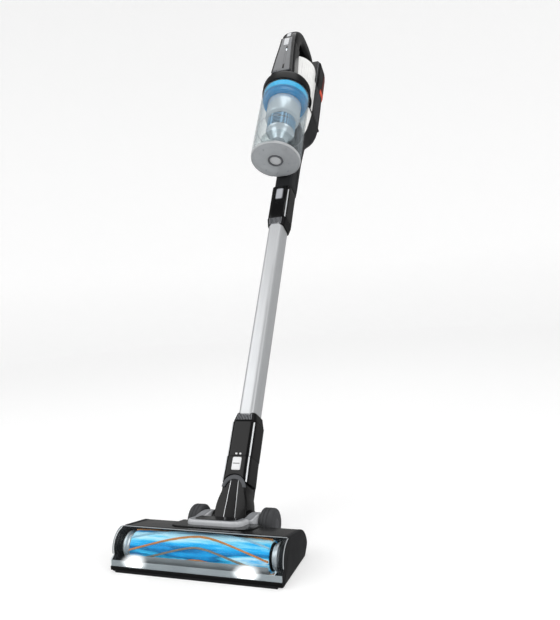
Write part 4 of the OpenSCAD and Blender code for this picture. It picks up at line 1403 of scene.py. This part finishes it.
@dataclass
class HandUnit:
    """Motor shell, cowl, duct and handle, with the controls on the handle's front.

    Attributes:
        nodes: The frame's CAD nodes.
        shell_r: Radius of the white shell.
        shell_v: v of the shell's axis.
        shell_s: Lower and upper end of the shell along the stick.
        cowl: Half width of the cowl.
    """

    nodes: dict[str, bpy.types.Object]
    shell_r: float = 46.0
    shell_v: float = -34.0
    shell_s: tuple[float, float] = (936.0, 1036.0)
    cowl: float = 36.0

    def duct(self) -> None:
        """Duct behind the bin, from the wand's socket up to the collar, and the bin's release pad on it."""
        side = rounded([(-14, 689.4, 1), (28, 689.4, 4), (31, 713, 10), (32.4, 794, 34), (43, 856, 26), (52, 873, 8),
                        (52, 929.7, 0.5), (-13.4, 929.7, 0.5), (-13.5, 734, 3), (-14, 730, 2)], steps=12)
        build("duct_housing", [slab(side, -19, 19, 6, 6, stick, 8)], [COWL_GREY], "hand_unit",
              ["duct_housing"])
        pad = oblong(-7.9, 7.9, 770, 810, 3)
        build("bin_release", [slab(pad, 18, 21.5, 0.1, 1.4)], [MATT_BLACK], "bin_button",
              ["bin_release"])

    def collar(self) -> None:
        """Black ring over the bin's top, with the deck behind it."""
        ring = turned([(50.9, 909.4), (51.4, 909.0), (53.4, 909.0), (54.1, 909.8), (54.2, 911.5), (54.2, 926),
                       (53.2, 931), (50.6, 935.6), (49, 936), (27, 936), (27, 930.2), (50.9, 930.2)],
                      Axis.STICK, (0, -68), 128, closed=True)
        deck = [[-self.cowl, 0], [-self.cowl, 69], [self.cowl, 69], [self.cowl, 0]]
        base = np.vstack([arc((0, self.shell_v), self.shell_r, 40, -220, 60), deck])
        build("collar_deck", [ring, slab(base, 930.2, 936, 0.6, 0.4, from_above)], [SATIN_BLACK], "hand_unit",
              ["collar_deck"])

    def shell(self) -> None:
        """White shell with a groove and fine ribs that run along the stick, and the apron below it."""
        mid, r = self.shell_v, self.shell_r
        turn = math.degrees(math.acos(self.cowl / r))
        front = arc((0, mid), r, turn, -180 - turn, 420)
        outline = np.vstack([[[self.cowl, 7.8]], front, [[-self.cowl, 7.8]]])

        def ribbed(t: np.ndarray, x: np.ndarray, v: np.ndarray) -> tuple[np.ndarray, np.ndarray]:
            """Presses nine grooves in each side: depth = 1 mm, 1.8 at the last, times a cosine cubed."""
            angle = np.degrees(np.arctan2(v - mid, np.abs(x)))
            band = (angle < 16) & (angle > -56)
            groove = np.clip(np.cos(2 * np.pi * (angle - 12) / 8), 0, 1) ** 3
            deep = np.where(np.abs(angle - 12) < 3.2, 1.8, 1.0)
            fade = np.clip(t / 0.08, 0, 1) * np.clip((0.93 - t) / 0.1, 0, 1)
            k = 1 - np.where(band, groove * deep * fade, 0) / r
            return x * k, mid + (v - mid) * k

        build("white_shell", [pillar(outline, *self.shell_s, 0.6, 5, 40, ribbed)], [WHITE], "hand_unit",
              ["white_shell"], sharp=50)

        def hem(x: np.ndarray, v: np.ndarray) -> np.ndarray:
            """Lower edge of the apron, which falls towards the back."""
            return 884 - (v + 12) * 0.5

        def narrow(t: np.ndarray, x: np.ndarray, v: np.ndarray) -> tuple[np.ndarray, np.ndarray]:
            """Draws the apron in towards the duct as it goes down."""
            return x * (0.66 + 0.36 * np.sqrt(t)), v

        apron = pillar(section(34.5, -12.8, 13.9, 6), hem, 930, 1.5, 0.3, 10, narrow)
        build("shell_apron", [apron], [WHITE], "hand_unit", weld=True)

    def cowl_side(self, sx: int) -> Surface:
        """Half of the cowl: a half section whose width, front and back follow smooth curves along the stick.

        Args:
            sx: 1 for the right half, -1 for the left.

        Returns:
            The closed surface.
        """
        line = smooth_path(np.array([
            (842, 17.5, 24, 39.5), (854, 18.8, 20, 45), (866, 20.8, 16.2, 53), (878, 23.8, 14.4, 60.4),
            (892, 28.4, 14.2, 66.4), (910, 33.0, 14.0, 70.2), (930, 35.6, 12, 71.6), (946, 36.1, 8.2, 72),
            (975, 36.2, 8.2, 72), (1005, 36.2, 8.2, 71.8), (1030, 36.1, 8.2, 70.6), (1036, 36.0, 8.2, 70.2)]), 76)
        b = np.linspace(0.2, np.pi / 2, 6)[:, None]
        fall = -4 * (1 - np.cos(b))
        end = line[-1] + np.hstack([4 * np.sin(b), fall, 0 * b, fall])
        s, half, front, back = np.vstack([line, end]).T[..., None]
        unit = rounded([(0.004, 0), (1, 0, 0.05), (1, 1, 0.27), (0.004, 1)], steps=14)
        x, v = half * unit[:, 0], front + (back - front) * unit[:, 1]
        return Surface(stick(sx * x, v, s))

    def cowl_and_mesh(self) -> None:
        """Dark cowl in two halves, each with a panel of small exhaust holes."""
        grid = rounded([(15, 1030, 6), (52, 1030, 8), (53, 1003, 12), (53, 950, 12), (45, 938, 8), (24, 938, 8),
                        (15, 950, 6)], steps=10)
        for side, sx in SIDES:
            build(f"cowl_{side}", [self.cowl_side(sx)], [COWL_GREY], "hand_unit", [f"cowl_{side}"])
            build(f"exhaust_mesh_{side}", [slab(grid, sx * 35.4, sx * 36.6, 0.2, 0.5)], [MESH], "hand_unit")

    def loop(self) -> Surface:
        """Handle: a superellipse carried from the front column over the top and down the rear strut.

        At angle a of a section, a point lies between the inner and the outer line by |cos a|^0.62 and
        across by |sin a|^0.62.

        Returns:
            The closed surface.
        """
        stations = np.array([
            (-113.6, 945, -72, 945), (-112.6, 990, -72, 990), (-110.3, 1036, -71.6, 1036),
            (-108.9, 1057, -71.2, 1058), (-106.2, 1076, -69.6, 1073), (-99.6, 1092, -64.5, 1082),
            (-91, 1105, -57.5, 1087.5), (-80, 1116.5, -49.5, 1091), (-67, 1124.6, -41, 1093),
            (-48, 1130, -30, 1096.5), (-27, 1133.4, -18, 1099.8), (-6, 1132.6, -8, 1101.6), (10, 1129, -2.4, 1099),
            (21.5, 1121, 0, 1092), (24.9, 1104, 0.2, 1079), (24.9, 1075, 0, 1062), (24.9, 1041, 0, 1038)], float)
        line = smooth_path(stations, 130)
        outer, inner = line[:, None, :2], line[:, None, 2:]
        a = np.linspace(0, 2 * np.pi, 44, endpoint=False)[None]
        c = np.sign(np.cos(a)) * np.abs(np.cos(a)) ** 0.62
        w = np.sign(np.sin(a)) * np.abs(np.sin(a)) ** 0.62
        half = np.interp(np.linspace(0, 16, 130), [0, 3, 8, 11, 16], [20, 20, 19.6, 19.2, 19])[:, None]
        mid, arm = (outer + inner) / 2, (outer - inner) / 2
        across = half * w
        return Surface(stick(across, mid[..., 0] + arm[..., 0] * c, mid[..., 1] + arm[..., 1] * c))

    def handle(self) -> None:
        """Gloss black handle and front column, the pierced strut insert and the thin silver seam."""

        def broad(t: np.ndarray, x: np.ndarray, v: np.ndarray) -> tuple[np.ndarray, np.ndarray]:
            """Widens the column towards its foot by 0.4 (1 - t)^1.3 and leans its front back as it rises."""
            return x * (1 + 0.4 * (1 - t) ** 1.3), v + 4.4 * t * (-70 - v) / 44.3

        column = pillar(section(20, -114.3, -70, 11), 936.2, 1046, 0.4, 1, 16, broad)
        build("handle", [self.loop(), column], [GLOSS_BLACK], "hand_unit",
              ["handle_left", "handle_right"])
        insert = rounded([(5, 1044, 3), (20, 1044, 3), (20, 1098, 8), (8, 1098, 6)])
        build("strut_insert", [slab(insert, sx * 18.4, sx * 19.7, 0.1, 0.5) for sx in (-1, 1)],
              [INSERT], "hand_unit")
        s = np.linspace(940, 1036, 20)
        seam = [strip(sx * 19.6, np.interp(s, (940, 1036), (-101, -98)), s, (0, 1, 0), (sx, 0, 0), 1.4, 1.2)
                for sx in (-1, 1)]
        build("handle_seam", seam, [SILVER], "hand_unit")

    def controls(self) -> None:
        """Grey front panel with its dark light strip, and the two near-white buttons."""
        lean = ((936, 984, 1038, 1058, 1083), (0, 1, 4, 5.2, 9.5))

        def leaning(depth: np.ndarray, x: np.ndarray, s: np.ndarray) -> np.ndarray:
            """Points on the handle's front, which leans back more and more as it rises."""
            return stick(x, depth + np.interp(s, *lean), s)

        edge = np.linspace(938, 1058, 16)
        wide = np.interp(edge, (938, 1030, 1058), (20.5, 13.4, 12.4))
        plate = np.vstack([np.stack([wide, edge], -1), np.stack([-wide[::-1], edge[::-1]], -1)])
        rows = rounded([(2.2, 946, 1.5), *[(2.2, s, 0) for s in (965, 984, 1003)], (2.2, 1024, 1.5),
                        (6.4, 1024, 1.5), *[(6.4, s, 0) for s in (1003, 984, 965)], (6.4, 946, 1.5)])
        dot = oblong(3.2, 5.4, 1008, 1014, 1)
        build("front_panel", [slab(plate, -117.2, -112.5, 1.2, 0.1, leaning),
                              slab(rows, -117.45, -115, 0.2, 0.1, leaning, 3, 1),
                              slab(dot, -117.6, -115, 0.1, 0.1, leaning, 3, 2)],
              [PANEL_DARK, GLOSS_BLACK, SMALL_LAMP], "hand_unit", ["front_panel"])
        s = np.linspace(939, 1057, 12)
        beside = np.interp(s, (939, 1030, 1057), (21.8, 14.8, 13.8))
        trims = [strip(sx * beside, -116.4 + np.interp(s, *lean), s, (1, 0, 0), (0, -1, 0), 2.2, 1.2)
                 for sx in (-1, 1)]
        build("panel_trim", trims, [GLOSS_BLACK], "hand_unit")
        power = oblong(-5.9, 5.9, 1029.2, 1054.8, 3)
        build("power_button", [slab(power, -118.4, -109, 1.2, 0.1, leaning)], [BUTTON_PALE], "power_switch",
              ["power_button"])
        boost = oblong(-4.9, 4.9, 1067.2, 1082.8, 3)
        build("boost_button", [slab(boost, -115.2, -109, 1.2, 0.1, leaning)], [BUTTON_PALE], "boost_switch",
              ["boost_button"])

    def dock(self) -> None:
        """Dock behind the strut, which the battery slides on to, with a light line along its edge."""
        block = pillar(section(28, 25.2, 34.7, 2.5), 1042, 1139, 1.5, 2)
        rails = [pillar(section(3, 34.2, 38.6, 0.5) + np.array([sx * 20, 0]), 1050, 1138.8, 0.3, 0.5)
                 for sx in (-1, 1)]
        build("battery_dock", [block, *rails], [SATIN_BLACK], "hand_unit", ["battery_dock"])
        s = np.linspace(1046, 1135, 8)
        build("dock_line", [strip(np.full(8, sx * 28.0), np.full(8, 27.4), s, (0, 1, 0), (sx, 0, 0), 1.4, 0.8)
                            for sx in (-1, 1)], [PANEL_GREY], "hand_unit")

    def make(self) -> None:
        """Builds the hand unit from the wand's socket up."""
        for step in (self.duct, self.collar, self.shell, self.cowl_and_mesh, self.handle, self.controls, self.dock):
            step()
        dress(self.nodes, {"suction_motor": MOTOR, "impeller": STEEL, "control_board": BOARD,
                           "exhaust_filter": PAPER, "body_screws": STEEL})


@dataclass
class Battery:
    """Click-in battery: a facetted black case with grey cheeks, a red-brown stripe and an orange square.

    Attributes:
        nodes: The frame's CAD nodes.
        half: Half width of the case.
    """

    nodes: dict[str, bpy.types.Object]
    half: float = 29.0

    def make(self) -> None:
        """Builds the case, its cheeks, the stripe and the release button."""
        side = rounded([(38.9, 1041.2, 1), (76, 1041.2, 3), (84, 1046, 3), (88, 1062, 3), (88, 1132, 3),
                        (84, 1148, 3), (76, 1153, 3), (42, 1153, 2), (38.9, 1149, 2)])
        tongue = rounded([(35.2, 1044, 1), (41, 1044, 0.5), (41, 1147, 0.5), (35.2, 1147, 1)])
        tongues = [slab(tongue, a, b, 0.8, 0.8) for a, b in ((-27, -23.4), (-16.6, 16.6), (23.4, 27))]
        build("battery_case", [slab(side, -self.half, self.half, 5, 5, stick, 3), *tongues],
              [SATIN_BLACK], "battery", ["battery_case"], sharp=20)
        cheek = rounded([(42, 1052, 3), (56, 1052, 3), (66, 1128, 4), (62, 1143, 4), (44, 1143, 4)])
        stripe = rounded([(66, 1050), (81, 1050), (84.6, 1064), (84.6, 1130), (81, 1142), (76, 1142)], 2)
        square = rounded([(58, 1048.5), (80, 1048.5), (84, 1062), (84, 1073), (60, 1073)], 1.5)
        x = self.half
        build("battery_cheeks", [slab(cheek, sx * (x - 1), sx * (x + 0.4), 0.1, 0.4) for sx in (-1, 1)],
              [DARK_GREY], "battery")
        build("battery_panels", [slab(o, sx * (x - 1), sx * (x + h), 0.1, 0.3, stick, 4, k) for sx in (-1, 1)
                                 for o, h, k in ((stripe, 0.4, 0), (square, 0.8, 1))],
              [BROWN_RED, ORANGE], "battery", ["battery_panels"])
        button = oblong(-9.8, 9.8, 1125.2, 1140.8, 3)
        build("battery_button", [slab(button, 89.3, 81, 1.2, 0.2, facing_front)], [ORANGE], "battery_catch",
              ["battery_button"])
        dress(self.nodes, {"battery_cells": WRAP})


# ---- studio ----


@dataclass(frozen=True)
class SoftBox:
    """A rectangular lamp.

    Attributes:
        name: The lamp's name.
        at: Where it hangs, in metres.
        aim: What it points at.
        size: Its width and height.
        power: Its power in watts.
    """

    name: str
    at: tuple[float, float, float]
    aim: tuple[float, float, float]
    size: tuple[float, float]
    power: float

    def hang(self) -> None:
        """Hangs the lamp, square to the line from its place to its aim."""
        data = bpy.data.lights.new(self.name, "AREA")
        data.shape, data.size, data.size_y, data.energy = "RECTANGLE", *self.size, self.power
        lamp = bpy.data.objects.new(self.name, data)
        back = np.array(self.at) - np.array(self.aim)
        back /= np.linalg.norm(back)
        right = np.cross((0, 0, 1), back)
        right /= np.linalg.norm(right)
        turn = np.eye(4)
        turn[:3, 0], turn[:3, 1], turn[:3, 2], turn[:3, 3] = right, np.cross(back, right), back, self.at
        lamp.matrix_world = Matrix(turn.tolist())
        bpy.context.scene.collection.objects.link(lamp)


@dataclass
class Studio:
    """Pale round sweep, three soft boxes, an even white room and the camera.

    Attributes:
        eye: Where the camera stands, in metres.
        yaw: Its turn to the left, in radians.
        pitch: Its look down.
        roll: Its turn about its own line of sight.
        lens: Focal length in millimetres.
        floor: Radius of the level floor.
        curve: Radius of the bend between floor and wall.
        room: Strength of the room's own light.
        lamps: The soft boxes.
    """

    eye: tuple[float, float, float] = (0.424, -0.806, 0.398)
    yaw: float = 0.347
    pitch: float = 0.0368
    roll: float = -0.0745
    lens: float = 35.2
    floor: float = 3.9
    curve: float = 0.6
    room: float = 0.24
    lamps: tuple[SoftBox, ...] = (
        SoftBox("key", (-1.5, -1.3, 1.9), (0, 0.3, 0.5), (2.2, 2.2), 27),
        SoftBox("fill", (1.9, -0.9, 1.1), (0, 0.3, 0.6), (1.2, 2.0), 12),
        SoftBox("top", (0.2, 0.6, 2.4), (0, 0.35, 0.4), (1.8, 1.4), 13))

    def sweep(self) -> None:
        """Round floor that curves up into a wall: level, then a quarter circle, then upright."""
        t = np.radians(np.linspace(0, 90, 17))
        wall = self.floor + self.curve
        r = np.concatenate([[0.02], self.floor + self.curve * np.sin(t), [wall]])[:, None]
        z = np.concatenate([[0.0], self.curve - self.curve * np.cos(t), [wall]])[:, None]
        a = np.linspace(0, 2 * np.pi, 96, endpoint=False)[None]
        points = np.stack(np.broadcast_arrays(r * np.cos(a), r * np.sin(a), z), -1)
        mesh = bpy.data.meshes.new("studio_sweep")
        mesh.from_pydata(points.reshape(-1, 3).tolist(), [], [*Surface(points, ends=False).faces(), list(range(96))])
        mesh.materials.append(SWEEP.material())
        mesh.shade_smooth()
        stage = bpy.data.objects.new("studio_sweep", mesh)
        bpy.context.scene.collection.objects.link(stage)
        stage.visible_glossy = False

    def camera(self) -> None:
        """Stands the camera at its place, turned by yaw, pitch and roll in that order."""
        cy, sy, cp, sp = math.cos(self.yaw), math.sin(self.yaw), math.cos(self.pitch), math.sin(self.pitch)
        ahead = np.array([-sy * cp, cy * cp, -sp])
        right = np.array([cy, sy, 0])
        up = np.cross(right, ahead)
        cr, sr = math.cos(self.roll), math.sin(self.roll)
        turn = np.eye(4)
        turn[:3, 0], turn[:3, 1] = cr * right + sr * up, -sr * right + cr * up
        turn[:3, 2], turn[:3, 3] = -ahead, self.eye
        data = bpy.data.cameras.new("camera")
        data.lens, data.sensor_width = self.lens, 36
        eye = bpy.data.objects.new("camera", data)
        eye.matrix_world = Matrix(turn.tolist())
        bpy.context.scene.collection.objects.link(eye)
        bpy.context.scene.camera = eye

    def make(self) -> None:
        """Sets the sweep, the lamps, the room's light and the camera."""
        self.sweep()
        for lamp in self.lamps:
            lamp.hang()
        world = bpy.data.worlds.new("white_room")
        world.use_nodes = True
        world.node_tree.nodes["Background"].inputs["Color"].default_value = (1, 1, 1, 1)
        world.node_tree.nodes["Background"].inputs["Strength"].default_value = self.room
        scene = bpy.context.scene
        scene.world = world
        scene.view_settings.view_transform = "Standard"
        self.camera()


def main() -> None:
    logging.basicConfig(level=logging.INFO, format="%(name)s: %(message)s")
    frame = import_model()
    nodes = frame["nodes"]
    Studio().make()
    for part in (FloorHead(nodes), Neck(nodes), Wand(), DustBin(nodes), HandUnit(nodes), Battery(nodes)):
        part.make()
        LOG.info("%s is whole", type(part).__name__)


if __name__ == "__main__":
    main()
